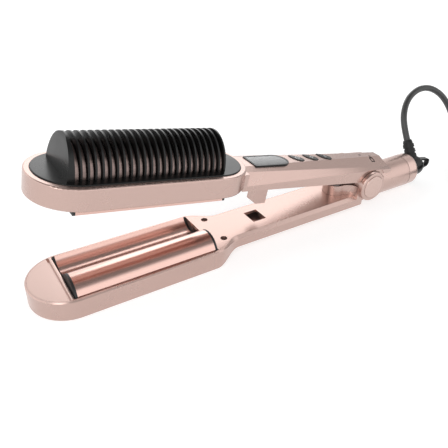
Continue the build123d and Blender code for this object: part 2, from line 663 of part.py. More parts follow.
def end_profile(inset):
    """Side outline that shapes the rear end: sloping top, blunt nose and the step over the tail."""
    rear = GRIP_REAR - inset
    return [
        (GRIP_FRONT - 1, GRIP_TOP + 1),
        (rear - END_TOP_SETBACK, GRIP_TOP + 1),
        (rear - END_TOP_SETBACK, GRIP_TOP - 0.6),
        (rear, END_BREAK_Z + 1),
        (rear, END_BREAK_Z),
        (rear - END_BREAK_Z + TAIL_RELIEF_Z, TAIL_RELIEF_Z + inset),
        (TAIL_RELIEF_X - inset, TAIL_RELIEF_Z + inset),
        (TAIL_RELIEF_X - inset, HINGE_Z),
        (GRIP_FRONT - 1, HINGE_Z),
    ]


def parting_block(above):
    """Everything above, or below, the slanted joint between the handle's two shells."""
    slope = (FACET_Z_REAR - FACET_Z_FRONT) / (GRIP_REAR - GRIP_FRONT)
    reach = 30
    z_front = FACET_Z_FRONT - slope * reach
    z_rear = FACET_Z_REAR + slope * reach
    limit = 2 * GRIP_TOP if above else 0
    points = [(GRIP_FRONT - reach, z_front), (GRIP_REAR + reach, z_rear), (GRIP_REAR + reach, limit),
              (GRIP_FRONT - reach, limit)]
    return side_prism(points, 2 * GRIP_HALF)


def ear_pockets():
    """Recesses in both sides of the upper handle that clear the ears, with the shallow step round them."""
    pocket = rod_y(POCKET_R, KNUCKLE_HALF, EAR_OUTER + 1)
    step = rod_y(STEP_R, GRIP_HALF - STEP_DEPTH, EAR_OUTER + 1)
    return both_sides(pocket + step)


def button_places():
    """Middle of each button on the handle's top."""
    return [(BUTTON_FIRST_X + BUTTON_PITCH * index, BUTTON_Y) for index in range(3)]


def leaf(grow=0.0):
    """Slanted leaf outline of a button, pointed at one end and round at the other."""
    half_length = BUTTON_LENGTH / 2 + grow
    half_width = BUTTON_WIDTH / 2 + grow
    belly = half_length * 0.45
    upper = Bezier((-half_length, 0), (-half_length * 0.55, half_width * 0.8), (0, half_width), (belly, half_width))
    end = Bezier((belly, half_width), (half_length, half_width), (half_length, 0))
    outline = make_face([upper, end, upper.mirror(Plane.XZ), end.mirror(Plane.XZ)])
    outline = fillet(outline.vertices().group_by(Axis.X)[0], BUTTON_NOSE_R)
    return Rot(0, 0, BUTTON_SLANT) * outline


def display_plan(shrink=0.0):
    """Plan of the display: blunt towards the head and round towards the buttons."""
    half = DISPLAY_HALF - shrink
    rear_centre = DISPLAY_REAR - DISPLAY_HALF
    front = DISPLAY_FRONT + shrink
    block = Pos((front + rear_centre) / 2, DISPLAY_Y) * Rectangle(rear_centre - front, 2 * half)
    block = fillet(block.vertices().group_by(Axis.X)[0], 1.2)
    return block + Pos(rear_centre, DISPLAY_Y) * Circle(half)


def neck_webs():
    """Concave webs that blend the round head into the handle."""
    head = plan_stadium(HEAD_TIP, HEAD_REAR, HEAD_HALF)
    handle = Pos(HEAD_REAR, 0) * Rectangle(4 * NECK_FILLET, 2 * GRIP_HALF)
    plan = head + handle
    head_centre = HEAD_REAR - HEAD_HALF
    corner_x = head_centre + sqrt(HEAD_HALF ** 2 - GRIP_HALF ** 2)
    web_end = head_centre + sqrt((HEAD_HALF + NECK_FILLET) ** 2 - (GRIP_HALF + NECK_FILLET) ** 2)
    corners = [v for v in plan.vertices() if abs(v.X - corner_x) < 0.1]
    keep = Pos(web_end - HEAD_HALF, 0) * Rectangle(2 * HEAD_HALF, 4 * HEAD_HALF)
    plan = fillet(corners, NECK_FILLET) & keep
    return extrude(Pos(0, 0, HEAD_BOTTOM) * (plan - head), amount=SHOULDER_Z_FRONT - HEAD_BOTTOM)


def head_ring():
    """Stadium-shaped wall of the head with a ledge for the comb plate."""
    plan = plan_stadium(HEAD_TIP, HEAD_REAR, HEAD_HALF)
    outer = extrude(Pos(0, 0, HEAD_BOTTOM) * plan, amount=HEAD_TOP - HEAD_BOTTOM)
    rims = outer.edges().group_by(Axis.Z)[-1] + outer.edges().group_by(Axis.Z)[0]
    outer = fillet(rims, HEAD_BEVEL)
    inset = HEAD_WALL
    well = plan_stadium(HEAD_TIP + inset, HEAD_REAR - inset, HEAD_HALF - inset)
    inset = HEAD_WALL + HEAD_LEDGE
    inner = plan_stadium(HEAD_TIP + inset, HEAD_REAR - inset, HEAD_HALF - inset)
    ledge_bottom = PLATE_SEAT - HEAD_LEDGE
    outer -= extrude(Pos(0, 0, PLATE_SEAT) * well, amount=HEAD_TOP)
    skirt = plan_stadium(HEAD_TIP + HEAD_SKIRT, HEAD_REAR - HEAD_SKIRT, HEAD_HALF - HEAD_SKIRT)
    outer -= extrude(Pos(0, 0, HEAD_BOTTOM - 1) * skirt, amount=ledge_bottom - HEAD_BOTTOM + 1)
    return outer - extrude(Pos(0, 0, HEAD_BOTTOM) * inner, amount=HEAD_TOP)


def upper_housing():
    """Top moulding: the head's ring and the upper shell of the handle."""
    head_plan = plan_stadium(HEAD_TIP, HEAD_REAR, HEAD_HALF)
    head_block = extrude(Pos(0, 0, HEAD_BOTTOM - 5) * head_plan, amount=HEAD_TOP)
    shell = grip_loft() - grip_loft(GRIP_WALL)
    shell = shell & parting_block(True)
    shell += (neck_webs() - grip_loft(GRIP_WALL)) & parting_block(True)
    shell -= head_block
    for x, y in button_places():
        shell -= extrude(Pos(x, y, GRIP_TOP - 4) * leaf(BUTTON_FIT), amount=8)
    shell -= extrude(Pos(0, 0, GRIP_TOP - 4) * display_plan(-PANEL_FIT), amount=8)
    shell -= ear_pockets()
    wire_way = box(HEAD_REAR - HEAD_WALL - HEAD_LEDGE, HEAD_REAR + 1, -WIRE_WAY_HALF, WIRE_WAY_HALF,
                   FACET_Z_FRONT + 1, PLATE_SEAT - HEAD_LEDGE - 1)
    return largest(shell + head_ring() - wire_way)


def upper_cover():
    """Bottom moulding of the handle: lower shell, hinge knuckle and the dome that presses on the spring."""
    head_plan = plan_stadium(HEAD_TIP, HEAD_REAR, HEAD_HALF)
    head_block = extrude(Pos(0, 0, HEAD_BOTTOM - 10) * head_plan, amount=HEAD_TOP)
    shell = grip_loft() - grip_loft(GRIP_WALL)
    shell = shell & parting_block(False)
    shell += (neck_webs() - grip_loft(GRIP_WALL)) & parting_block(False)
    shell -= head_block
    shell += board_posts()
    knuckle = rod_y(KNUCKLE_R, -KNUCKLE_HALF, KNUCKLE_HALF)
    shell += knuckle & parting_block(False)
    shell += spring_dome()
    shell -= ear_pockets()
    shell -= post_seat()
    return largest(shell - rod_y(PIN_R + PIN_PLAY, -EAR_OUTER, EAR_OUTER))


def spring_dome():
    """Blunt dome under the handle that presses on the opening spring."""
    rim_z = BOSS_BOTTOM + BOSS_R / 2
    top_z = UNDER_Z_FRONT + 1
    bulge = Bezier((0, BOSS_BOTTOM), (BOSS_R * 0.6, BOSS_BOTTOM), (BOSS_R, (BOSS_BOTTOM + rim_z) / 2), (BOSS_R, rim_z))
    rest = Polyline((BOSS_R, rim_z), (BOSS_R, top_z), (0, top_z), (0, BOSS_BOTTOM))
    return Pos(TOWER_X, 0, 0) * revolve(Plane.XZ * make_face([bulge] + rest.edges()), axis=Axis.Z)


def under_z(x):
    """Height of the handle's underside at x."""
    return UNDER_Z_FRONT + (UNDER_Z_REAR - UNDER_Z_FRONT) * (x - GRIP_FRONT) / (GRIP_REAR - GRIP_FRONT)


def board_posts():
    """Four posts on the handle's floor that carry the control board."""
    front = DISPLAY_FRONT + 7
    rear = BUTTON_FIRST_X + 2 * BUTTON_PITCH + 5
    top = board_top() - BOARD_THICKNESS
    return [rod_z(BOARD_POST_R, under_z(x) + GRIP_WALL / 2, top, x, y)
            for x in (front, rear) for y in (-BOARD_HALF + 2, BOARD_HALF - 2)]


def post_seat():
    """Hole in the handle's underside that the post is pressed into."""
    return box(POST_FRONT, POST_REAR, -POST_HALF, POST_HALF, POST_BOTTOM, FACET_Z_FRONT)


def latch_post():
    """Post that reaches down through the slot, with a pocket for the slider's tongue."""
    post = box(POST_FRONT, POST_REAR, -POST_HALF, POST_HALF, POST_BOTTOM, FACET_Z_FRONT)
    seat_z = under_z(POST_FRONT - 1.5) + GRIP_WALL + 0.05
    flange = box(POST_FRONT - 1.5, POST_REAR + 1.5, -POST_HALF - 1.5, POST_HALF + 1.5,
                 seat_z, FACET_Z_FRONT)
    pocket_depth = CATCH_TRAVEL - TONGUE_CLEAR + 0.8
    pocket = box(POST_REAR - pocket_depth, POST_REAR + 1, -TONGUE_HALF - 0.5, TONGUE_HALF + 0.5,
                 CATCH_Z - 0.4, CATCH_Z + TONGUE_THICKNESS + 0.4)
    return post + flange - pocket


def head_base():
    """Floor of the head, with the window that the wave plate looks through."""
    inset = HEAD_SKIRT + COMB_PLATE_FIT
    plan = plan_stadium(HEAD_TIP + inset, HEAD_REAR - inset, HEAD_HALF - inset)
    window_front = PLATE_FRONT - SEAL_THICKNESS - PANEL_FIT
    window_rear = PLATE_REAR + SEAL_THICKNESS + PANEL_FIT
    window_half = UPPER_PLATE_HALF + PANEL_FIT
    window = Pos((window_front + window_rear) / 2, 0) * Rectangle(window_rear - window_front, 2 * window_half)
    return extrude(Pos(0, 0, HEAD_BOTTOM) * (plan - window), amount=HEAD_BASE_THICKNESS)


# ---------------------------------------------------------------- comb
def arch_face(half, ridge):
    """Arch across the comb, as a half ellipse on the plate, in (y, z)."""
    base = COMB_PLATE_TOP - 0.2
    whole = Pos(0, base) * Ellipse(half, ridge - base)
    return whole & (Pos(0, base + ridge) * Rectangle(4 * half, 2 * ridge))


def comb_end_cap():
    """Smooth sloping cap at the head's end of the comb."""
    back = across(COMB_FRONT + FIN_THICKNESS / 2, arch_face(COMB_HALF, COMB_RIDGE))
    body = extrude(back, amount=CAP_REACH + FIN_THICKNESS / 2, dir=(-1, 0, 0))
    foot_x = COMB_FRONT - CAP_REACH
    foot_z = COMB_PLATE_TOP - 1
    shoulder_z = COMB_RIDGE - CAP_SHOULDER
    front = Line((foot_x, foot_z), (foot_x + CAP_LEAN, shoulder_z))
    shoulder = Bezier((foot_x + CAP_LEAN, shoulder_z), (foot_x + CAP_LEAN + 0.3, COMB_RIDGE), (COMB_FRONT, COMB_RIDGE + 0.1))
    rest = Polyline((COMB_FRONT, COMB_RIDGE + 0.1), (COMB_FRONT + FIN_THICKNESS, COMB_RIDGE + 0.1),
                    (COMB_FRONT + FIN_THICKNESS, foot_z), (foot_x, foot_z))
    side = make_face([front, shoulder] + rest.edges())
    return body & extrude(Plane.XZ * side, amount=2 * COMB_HALF, both=True)


def comb_plate():
    """Plate, end cap and plastic fins of the comb in one moulding, slotted for the heated fins."""
    inset = HEAD_WALL + COMB_PLATE_FIT
    plan = plan_stadium(HEAD_TIP + inset, HEAD_REAR - inset, COMB_PLATE_HALF)
    plate = extrude(Pos(0, 0, PLATE_SEAT) * plan, amount=COMB_PLATE_THICKNESS)
    plate = fillet(plate.edges().group_by(Axis.Z)[-1], 0.5)
    fin = extrude(arch_face(COMB_HALF, COMB_RIDGE), amount=FIN_THICKNESS / 2, both=True)
    fins = [Pos(COMB_FRONT + FIN_PITCH * index, 0, 0) * Plane.YZ.location * fin for index in range(FIN_COUNT)]
    half = COMB_HALF - HOT_FIN_INSET + HOT_FIN_FIT
    width = HOT_FIN_THICKNESS + 2 * HOT_FIN_FIT
    slots = [box(x - width / 2, x + width / 2, -half, half, PLATE_SEAT - 1, COMB_PLATE_TOP + 1)
             for x in hot_fin_places()]
    return plate - slots + fins + comb_end_cap()


def hot_fin_places():
    """Middle of each heated fin, half way between two plastic ones."""
    return [COMB_FRONT + FIN_PITCH * (index + 0.5) for index in range(FIN_COUNT - 1)]


def heated_fins():
    """Heated fins standing on their heater bar under the plate."""
    half = COMB_HALF - HOT_FIN_INSET
    arch = arch_face(half, COMB_RIDGE - HOT_FIN_DROP)
    root = Pos(0, (COMB_PLATE_TOP + PLATE_SEAT) / 2) * Rectangle(2 * half, COMB_PLATE_THICKNESS)
    fin = extrude(arch + root, amount=HOT_FIN_THICKNESS / 2, both=True)
    bar = box(COMB_FRONT, COMB_REAR, -half, half, PLATE_SEAT - HOT_BAR_THICKNESS, PLATE_SEAT)
    return bar + [Pos(x, 0, 0) * Plane.YZ.location * fin for x in hot_fin_places()]


# ---------------------------------------------------------------- display, buttons and electronics
def display_bezel():
    """Black frame round the display's window."""
    bottom = DISPLAY_TOP - BEZEL_THICKNESS
    bezel = extrude(Pos(0, 0, bottom) * display_plan(), amount=BEZEL_THICKNESS)
    return bezel - extrude(Pos(0, 0, bottom - 1) * display_plan(BEZEL_BORDER), amount=BEZEL_THICKNESS + 2)


def display_window():
    """Clear window let into the bezel."""
    top = DISPLAY_TOP - 0.15
    return extrude(Pos(0, 0, top - GLASS_THICKNESS) * display_plan(BEZEL_BORDER), amount=GLASS_THICKNESS)


def display_module():
    """Display panel behind the window."""
    top = DISPLAY_TOP - 0.15 - GLASS_THICKNESS
    return extrude(Pos(0, 0, top - MODULE_THICKNESS) * display_plan(BEZEL_BORDER), amount=MODULE_THICKNESS)


def button(x, y):
    """Leaf-shaped push button with the flange that keeps it in the housing."""
    flange_top = GRIP_TOP - GRIP_WALL - BUTTON_DROP
    bottom = flange_top - BUTTON_FLANGE_HEIGHT
    cap = extrude(Pos(x, y, bottom) * leaf(), amount=BUTTON_TOP - bottom)
    cap = chamfer(cap.edges().group_by(Axis.Z)[-1], 0.35)
    flange = Pos(x, y, bottom) * leaf(BUTTON_FIT + BUTTON_FLANGE)
    stem = rod_z(1.2, switch_top() + BUTTON_TRAVEL + 0.35, flange_top, x, y)
    return cap + extrude(flange, amount=BUTTON_FLANGE_HEIGHT) + stem


def board_top():
    """Upper face of the control board."""
    return DISPLAY_TOP - 0.15 - GLASS_THICKNESS - MODULE_THICKNESS - 4.2


def switch_top():
    """Top of the push switches."""
    return board_top() + SWITCH_HEIGHT


def control_board():
    """Circuit board under the display and the buttons."""
    front = DISPLAY_FRONT + 4
    rear = BUTTON_FIRST_X + 2 * BUTTON_PITCH + 8
    return box(front, rear, -BOARD_HALF, BOARD_HALF, board_top() - BOARD_THICKNESS, board_top())


def tact_switches():
    """Three push switches on the board."""
    half = SWITCH_SIZE / 2
    return [box(x - half, x + half, y - half, y + half, board_top(), switch_top()) for x, y in button_places()]


def display_spacer():
    """Pillar that carries the display panel on the board."""
    top = DISPLAY_TOP - 0.15 - GLASS_THICKNESS - MODULE_THICKNESS
    middle = (DISPLAY_FRONT + DISPLAY_REAR) / 2
    return box(middle - 8, middle + 8, -4, 4, board_top(), top)


# ---------------------------------------------------------------- hinge pieces, spring and lock
def hinge_pin():
    """Steel pin through both ears and the knuckle."""
    return rod_y(PIN_R, -EAR_OUTER + CAP_SEAT, EAR_OUTER - CAP_SEAT)


def hinge_cap(side):
    """Round cap over one end of the pin, on the near (-1) or far (+1) ear."""
    inner = EAR_OUTER - CAP_SEAT
    cap = rod_y(CAP_R, inner, inner + CAP_THICKNESS)
    cap = fillet(cap.edges().filter_by(GeomType.CIRCLE).sort_by(Axis.Y)[-1], 0.5)
    return cap if side > 0 else cap.mirror(Plane.XZ)


def opening_spring():
    """Compression spring between the tower's floor and the dome, at its length with the arms open."""
    dome_low = HINGE_Z + (BOSS_BOTTOM - HINGE_Z) * cos(radians(OPEN_ANGLE)) - TOWER_X * sin(radians(OPEN_ANGLE))
    bottom = CUP_FLOOR + WIRE_R
    length = dome_low - MOVING_GAP - WIRE_R - bottom
    path = Helix(pitch=length / SPRING_TURNS, height=length, radius=SPRING_R)
    wire = sweep(Plane(path @ 0, z_dir=path % 0) * Circle(WIRE_R), path=path, is_frenet=True)
    return Pos(TOWER_X, 0, bottom) * wire


def lock_slider():
    """Bar under the panel with the upright and tongue that catch the post."""
    bar = box(TONGUE_TIP - SLIDER_NOSE, TONGUE_TIP + SLIDER_REACH, -SLIDER_HALF, SLIDER_HALF,
              SLIDER_Z0, SLIDER_Z1)
    upright = box(TONGUE_TIP + 2.2, TONGUE_TIP + 6.0, -TONGUE_HALF, TONGUE_HALF,
                  SLIDER_Z1 - 1, PADDLE_HEIGHT - PANEL_THICKNESS - 0.5)
    tongue = box(TONGUE_TIP, TONGUE_TIP + 4, -TONGUE_HALF, TONGUE_HALF, CATCH_Z, CATCH_Z + TONGUE_THICKNESS)
    return bar + upright + tongue


def slider_guides():
    """Two rails on the handle's floor that the slider runs on."""
    rail = box(TONGUE_TIP - SLIDER_NOSE, TONGUE_TIP + SLIDER_REACH - CATCH_TRAVEL, 1.5, 3.5,
               FLOOR_WALL - 0.5, SLIDER_Z0 - MOVING_GAP)
    return both_sides(rail)


def panel_screws():
    """The two screws that hold the panel."""
    head_seat = PADDLE_HEIGHT - SCREW_SINK - SCREW_HEAD_HEIGHT
    head = rod_z(SCREW_HEAD_R - 0.1, head_seat, head_seat + SCREW_HEAD_HEIGHT, SCREW_X, SCREW_Y)
    shank = rod_z(SCREW_SHANK_R, head_seat - SCREW_SHANK_LENGTH, head_seat + 0.5, SCREW_X, SCREW_Y)
    screw = head + shank
    return [screw, screw.mirror(Plane.XZ)]


# ---------------------------------------------------------------- cord swivel, laid out upright
def tilt_swivel(shape):
    """Turn the upright swivel about the tail's axis to the angle that it lies at."""
    axis = Axis((0, 0, TAIL_Z), (1, 0, 0))
    if isinstance(shape, list):
        return [piece.rotate(axis, -SWIVEL_TILT) for piece in shape]
    return shape.rotate(axis, -SWIVEL_TILT)


def swivel_gland():
    """Dome behind the lock ring that turns with the cord."""
    nose = GLAND_REAR
    profile = make_face([
        Line((GLAND_FRONT, 0), (GLAND_FRONT, GLAND_R - 1)),
        Line((GLAND_FRONT, GLAND_R - 1), (GLAND_FRONT + 1, GLAND_R)),
        Line((GLAND_FRONT + 1, GLAND_R), (SWIVEL_X - 2, GLAND_R)),
        Bezier((SWIVEL_X - 2, GLAND_R), (nose, GLAND_R), (nose, GLAND_NOSE_R)),
        Line((nose, GLAND_NOSE_R), (nose, 0)),
        Line((nose, 0), (GLAND_FRONT, 0)),
    ])
    dome = revolve(Plane.XZ * profile, axis=Axis.X)
    dome = Pos(0, 0, TAIL_Z) * dome
    spindle_seat = rod_x(SPINDLE_R, GLAND_FRONT - 1, GLAND_FRONT + SPINDLE_SINK)
    socket = rod_z(RELIEF_BASE_R + 0.05, TAIL_Z + RELIEF_BASE, TAIL_Z + GLAND_R + 1, SWIVEL_X)
    return dome - spindle_seat - socket


def swivel_spindle():
    """Flanged spindle, put in from inside the tail, that holds the gland on and lets it turn."""
    flange_rear = TAIL_REAR - END_WALL - MOVING_GAP
    flange_front = flange_rear - END_WALL
    flange = rod_x(SPINDLE_FLANGE_R, flange_front, flange_rear)
    return flange + rod_x(SPINDLE_R, flange_rear - 1, GLAND_FRONT + SPINDLE_SINK)


def hang_loop():
    """Strap loop on the gland's nose for hanging the tool up."""
    root = GLAND_REAR
    tip = root + LOOP_REACH
    outer = make_face(Polyline((root, -LOOP_HALF_ROOT), (tip, -LOOP_HALF_TIP), (tip, LOOP_HALF_TIP),
                               (root, LOOP_HALF_ROOT), close=True))
    outer = fillet(outer.vertices().group_by(Axis.X)[-1], LOOP_HALF_TIP - 0.1)
    inner = offset(outer, -LOOP_STRAP, kind=Kind.ARC)
    strap = extrude(Plane.XZ * (outer - inner), amount=LOOP_WIDTH / 2, both=True)
    return Pos(0, 0, TAIL_Z) * strap


def strain_relief():
    """Tapered ribbed sleeve round the cord."""
    length = RELIEF_TIP - RELIEF_BASE
    points = [(0, 0), (RELIEF_BASE_R, 0), (RELIEF_BASE_R, length * 0.16), (RELIEF_MID_R, length * 0.24)]
    rib = length * 0.6 / RELIEF_RIBS
    start = length * 0.3
    for index in range(RELIEF_RIBS):
        share = index / RELIEF_RIBS
        radius = RELIEF_MID_R + (RELIEF_TIP_R + 0.6 - RELIEF_MID_R) * share
        z = start + rib * index
        crest = z + rib * 0.7
        points += [(radius, z), (radius - 0.15, crest)]
        points += [(radius - RIB_GROOVE, crest), (radius - RIB_GROOVE, z + rib)]
    points += [(RELIEF_TIP_R, start + rib * RELIEF_RIBS), (RELIEF_TIP_R - 0.6, length), (0, length)]
    sleeve = revolve(Plane.XZ * make_face(Polyline(*points, close=True)), axis=Axis.Z)
    return Pos(SWIVEL_X, 0, TAIL_Z + RELIEF_BASE) * sleeve


def along_relief(reach):
    """The point at reach from the tail's axis on the strain relief's centre line."""
    turn = radians(SWIVEL_TILT)
    return (SWIVEL_X, reach * sin(turn), TAIL_Z + reach * cos(turn))


CORD_ROUTE = [
    (69.0, 23.6, 50.2),
    (77.5, 28.1, 57.4),
    (90.2, 30.7, 61.2),
    (103.4, 30.4, 60.2),
    (115.4, 27.3, 53.8),
    (124.1, 23.4, 43.5),
    (130.0, 19.4, 31.0),
    (134.7, 14.5, 19.6),
    (139.8, 8.0, 11.6),
    (144.8, -1.4, 6.4),
    (149.0, -12.8, 3.6),
    (151.0, -25.2, 2.6),
]


def coil_entry():
    """Where the cord runs along the floor into the coil's turns."""
    return (COIL_X + COIL_MID_R, COIL_Y, CORD_R)


def cord_points():
    """The cord's route from the strain relief to the coil."""
    return [along_relief(RELIEF_TIP), along_relief(RELIEF_TIP + CORD_LEAD)] + CORD_ROUTE + [coil_entry()]


def corner_radii(points):
    """Radius at each corner of the route: as large as its two runs allow."""
    radii = []
    for before, here, after in zip(points, points[1:], points[2:]):
        first = Vector(*here) - Vector(*before)
        second = Vector(*after) - Vector(*here)
        turn = radians(first.get_angle(second))
        radii.append(0.45 * min(first.length, second.length) / tan(turn / 2))
    return radii


def cord_tube():
    """Cord from the strain relief to the coil."""
    points = cord_points()
    radii = corner_radii(points)
    print("cord radii", [round(radius, 1) for radius in radii])
    path = FilletPolyline(*points, radius=radii)
    tube = sweep(Plane(path @ 0, z_dir=path % 0) * Circle(CORD_R), path=path)
    expected = pi * CORD_R ** 2 * path.length
    print("cord tube length", round(path.length, 1), "volume share", round(tube.volume / expected, 4))
    return tube


def coil_height():
    """Height of the coil's layers of cord."""
    return COIL_LAYERS * CORD_D


def cord_coil():
    """Closed outer shape of the wound cord."""
    half_width = COIL_TURNS_WIDE * CORD_R
    height = coil_height()
    section = Pos(COIL_MID_R, height / 2) * RectangleRounded(2 * half_width, height, CORD_R * 0.95)
    ring = revolve(Plane.XZ * section, axis=Axis.Z)
    return Pos(COIL_X, COIL_Y, 0) * ring


def plug_places():
    """The plug lies on the coil's turns, in line with the cord that comes round to it."""
    return (COIL_X + COIL_MID_R, COIL_Y + PLUG_SETBACK - PLUG_LENGTH, coil_height())


def plug_body():
    """Flat two-pin plug body, lying on the coil."""
    x, y, z = plug_places()
    outline = Polyline((-PLUG_HALF, 0), (PLUG_HALF, 0), (PLUG_HALF, 12), (4.5, PLUG_LENGTH), (-4.5, PLUG_LENGTH),
                       (-PLUG_HALF, 12), close=True)
    plan = fillet(make_face(outline).vertices().group_by(Axis.Y)[1], 6)
    body = extrude(plan, amount=PLUG_THICKNESS)
    body = fillet(body.edges().group_by(Axis.Z)[-1] + body.edges().group_by(Axis.Z)[0], 2.0)
    return Pos(x, y, z) * body


def plug_pins():
    """Two round pins that stand out of the plug's face."""
    x, y, z = plug_places()
    middle_z = z + PLUG_THICKNESS / 2
    pin = rod_y(PLUG_PIN_R, y - PLUG_PIN_LENGTH, y, x + PLUG_PIN_SPACING / 2, middle_z)
    pin = fillet(pin.edges().filter_by(GeomType.CIRCLE).sort_by(Axis.Y)[0], 0.9)
    return [pin, Pos(-PLUG_PIN_SPACING, 0, 0) * pin]


# ---------------------------------------------------------------- assembly
def open_up(shape):
    """Swing a piece of the upper arm from closed to open."""
    axis = Axis((0, 0, HINGE_Z), (0, 1, 0))
    if isinstance(shape, list):
        return [piece.rotate(axis, OPEN_ANGLE) for piece in shape]
    return shape.rotate(axis, OPEN_ANGLE)


def lower_nodes():
    """Every node of the lower arm, where it lies."""
    return {
        "lower_housing": lower_housing() + slider_guides(),
        "tip_cap": tip_cap(),
        "lower_wave_plate": lower_wave_plate(),
        "lower_seal_front": lower_seal(PLATE_FRONT - SEAL_THICKNESS),
        "lower_seal_rear": lower_seal(PLATE_REAR),
        "lower_heater": lower_heater(),
        "lower_insulator": lower_insulator(),
        "handle_panel": handle_panel(),
        "panel_screws": panel_screws(),
        "hinge_pin": hinge_pin(),
        "hinge_cap_near": hinge_cap(-1),
        "hinge_cap_far": hinge_cap(1),
        "opening_spring": opening_spring(),
        "tail_cover": tail_cover(),
        "lock_ring": lock_ring(),
        "lock_slider": lock_slider(),
    }


def upper_nodes():
    """Every node of the upper arm and its buttons, closed."""
    names = ["power_button", "plus_button", "minus_button"]
    nodes = {
        "upper_housing": upper_housing(),
        "upper_cover": upper_cover(),
        "head_base": head_base(),
        "comb_plate": comb_plate(),
        "heated_fins": heated_fins(),
        "upper_wave_plate": upper_wave_plate(),
        "upper_seal_front": upper_seal(PLATE_FRONT - SEAL_THICKNESS),
        "upper_seal_rear": upper_seal(PLATE_REAR),
        "upper_heater": upper_heater(),
        "display_bezel": display_bezel(),
        "display_window": display_window(),
        "display_module": display_module(),
        "display_spacer": display_spacer(),
        "control_board": control_board(),
        "tact_switches": tact_switches(),
        "latch_post": latch_post(),
    }
    for name, (x, y) in zip(names, button_places()):
        nodes[name] = button(x, y)
    return nodes


def cord_nodes():
    """Every node of the swivel and the cord."""
    return {
        "swivel_gland": tilt_swivel(swivel_gland()),
        "swivel_spindle": swivel_spindle(),
        "hang_loop": hang_loop(),
        "strain_relief": tilt_swivel(strain_relief()),
        "cord_tube": cord_tube(),
        "cord_coil": cord_coil(),
        "plug_body": plug_body(),
        "plug_pins": plug_pins(),
    }


def as_solids(shape):
    """The solids of a node, whether it is one shape or a list of them."""
    if isinstance(shape, list):
        return [solid for piece in shape for solid in piece.solids()]
    return shape.solids()


def middle_x(nodes):
    """Middle of the part along X, from the paddle's tip to the end of the hang loop."""
    boxes = [solid.bounding_box() for name in nodes for solid in as_solids(nodes[name])]
    return (min(b.min.X for b in boxes) + max(b.max.X for b in boxes)) / 2


def main():
    """Build every node, centre the part and write one STEP file for each."""
    os.makedirs("parts", exist_ok=True)
    nodes = lower_nodes()
    nodes.update({name: open_up(shape) for name, shape in upper_nodes().items()})
    cord = cord_nodes()
    on_cord = ["strain_relief", "cord_tube", "cord_coil", "plug_body", "plug_pins"]
    own = dict(nodes, **{name: cord[name] for name in cord if name not in on_cord})
    shift = Pos(-middle_x(own), 0, 0)
    print("shift", -middle_x(own))
    nodes.update(cord)
    for name, shape in nodes.items():
        solids = [shift * solid for solid in as_solids(shape)]
        export_step(solids[0] if len(solids) == 1 else Compound(children=solids), f"parts/{name}.step")


if __name__ == "__main__":
    main()
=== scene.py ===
import logging
import math
from dataclasses import dataclass
from enum import Enum
from typing import Iterable, Sequence

import bmesh
import bpy
import numpy as np
from mathutils import Matrix, Vector


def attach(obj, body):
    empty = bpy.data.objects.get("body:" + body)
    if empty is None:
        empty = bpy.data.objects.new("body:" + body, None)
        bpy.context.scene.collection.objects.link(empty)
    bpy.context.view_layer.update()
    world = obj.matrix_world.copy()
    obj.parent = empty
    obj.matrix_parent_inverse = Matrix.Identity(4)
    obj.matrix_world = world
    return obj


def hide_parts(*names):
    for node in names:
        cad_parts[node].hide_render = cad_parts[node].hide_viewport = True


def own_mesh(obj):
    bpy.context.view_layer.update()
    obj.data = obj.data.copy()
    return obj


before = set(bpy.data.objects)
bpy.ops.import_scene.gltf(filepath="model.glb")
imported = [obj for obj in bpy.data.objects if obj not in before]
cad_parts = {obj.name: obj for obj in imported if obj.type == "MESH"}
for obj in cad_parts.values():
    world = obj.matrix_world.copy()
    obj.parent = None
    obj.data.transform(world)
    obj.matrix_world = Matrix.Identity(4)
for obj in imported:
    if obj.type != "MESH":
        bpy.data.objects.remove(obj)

log = logging.getLogger("hair_waver")

Point = tuple[float, float, float]
Colour = tuple[float, float, float]

MM = 0.001                      # metres in a millimetre
SHIFT_X = 79.65 * MM            # the hinge axis, along X in the shared frame
HINGE_Z = 19.6 * MM             # its height above the floor
OPEN_ANGLE = math.radians(10.86)
WHITE = (1.0, 1.0, 1.0)


def at(x: float, y: float, z: float) -> Point:
    """Turn a place measured in millimetres from the hinge's foot into the shared frame.

    Args:
        x: Distance along the lower arm from the hinge, towards the cord.
        y: Distance to the far side.
        z: Height above the floor.

    Returns:
        The same place in metres.
    """
    return (SHIFT_X + x * MM, y * MM, z * MM)


def opened(points: np.ndarray) -> np.ndarray:
    """Swing places on the closed upper arm to where they are with the arms open.

    A turn by OPEN_ANGLE about the hinge axis, which lies along Y.

    Args:
        points: Rows of x, y, z in metres in the shared frame, laid out closed.

    Returns:
        The rows turned open.
    """
    cos, sin = math.cos(OPEN_ANGLE), math.sin(OPEN_ANGLE)
    x = points[:, 0] - SHIFT_X
    z = points[:, 2] - HINGE_Z
    return np.column_stack((SHIFT_X + x * cos + z * sin, points[:, 1], HINGE_Z - x * sin + z * cos))


def ease(share: float, start: float = 0.0, end: float = 1.0) -> float:
    """Ease from 0 to 1, level at both ends: three times the square less twice the cube.

    Args:
        share: The value to ease.
        start: Where the result leaves 0.
        end: Where the result reaches 1.

    Returns:
        A value from 0 to 1.
    """
    share = min(1.0, max(0.0, (share - start) / (end - start)))
    return share * share * (3.0 - 2.0 * share)


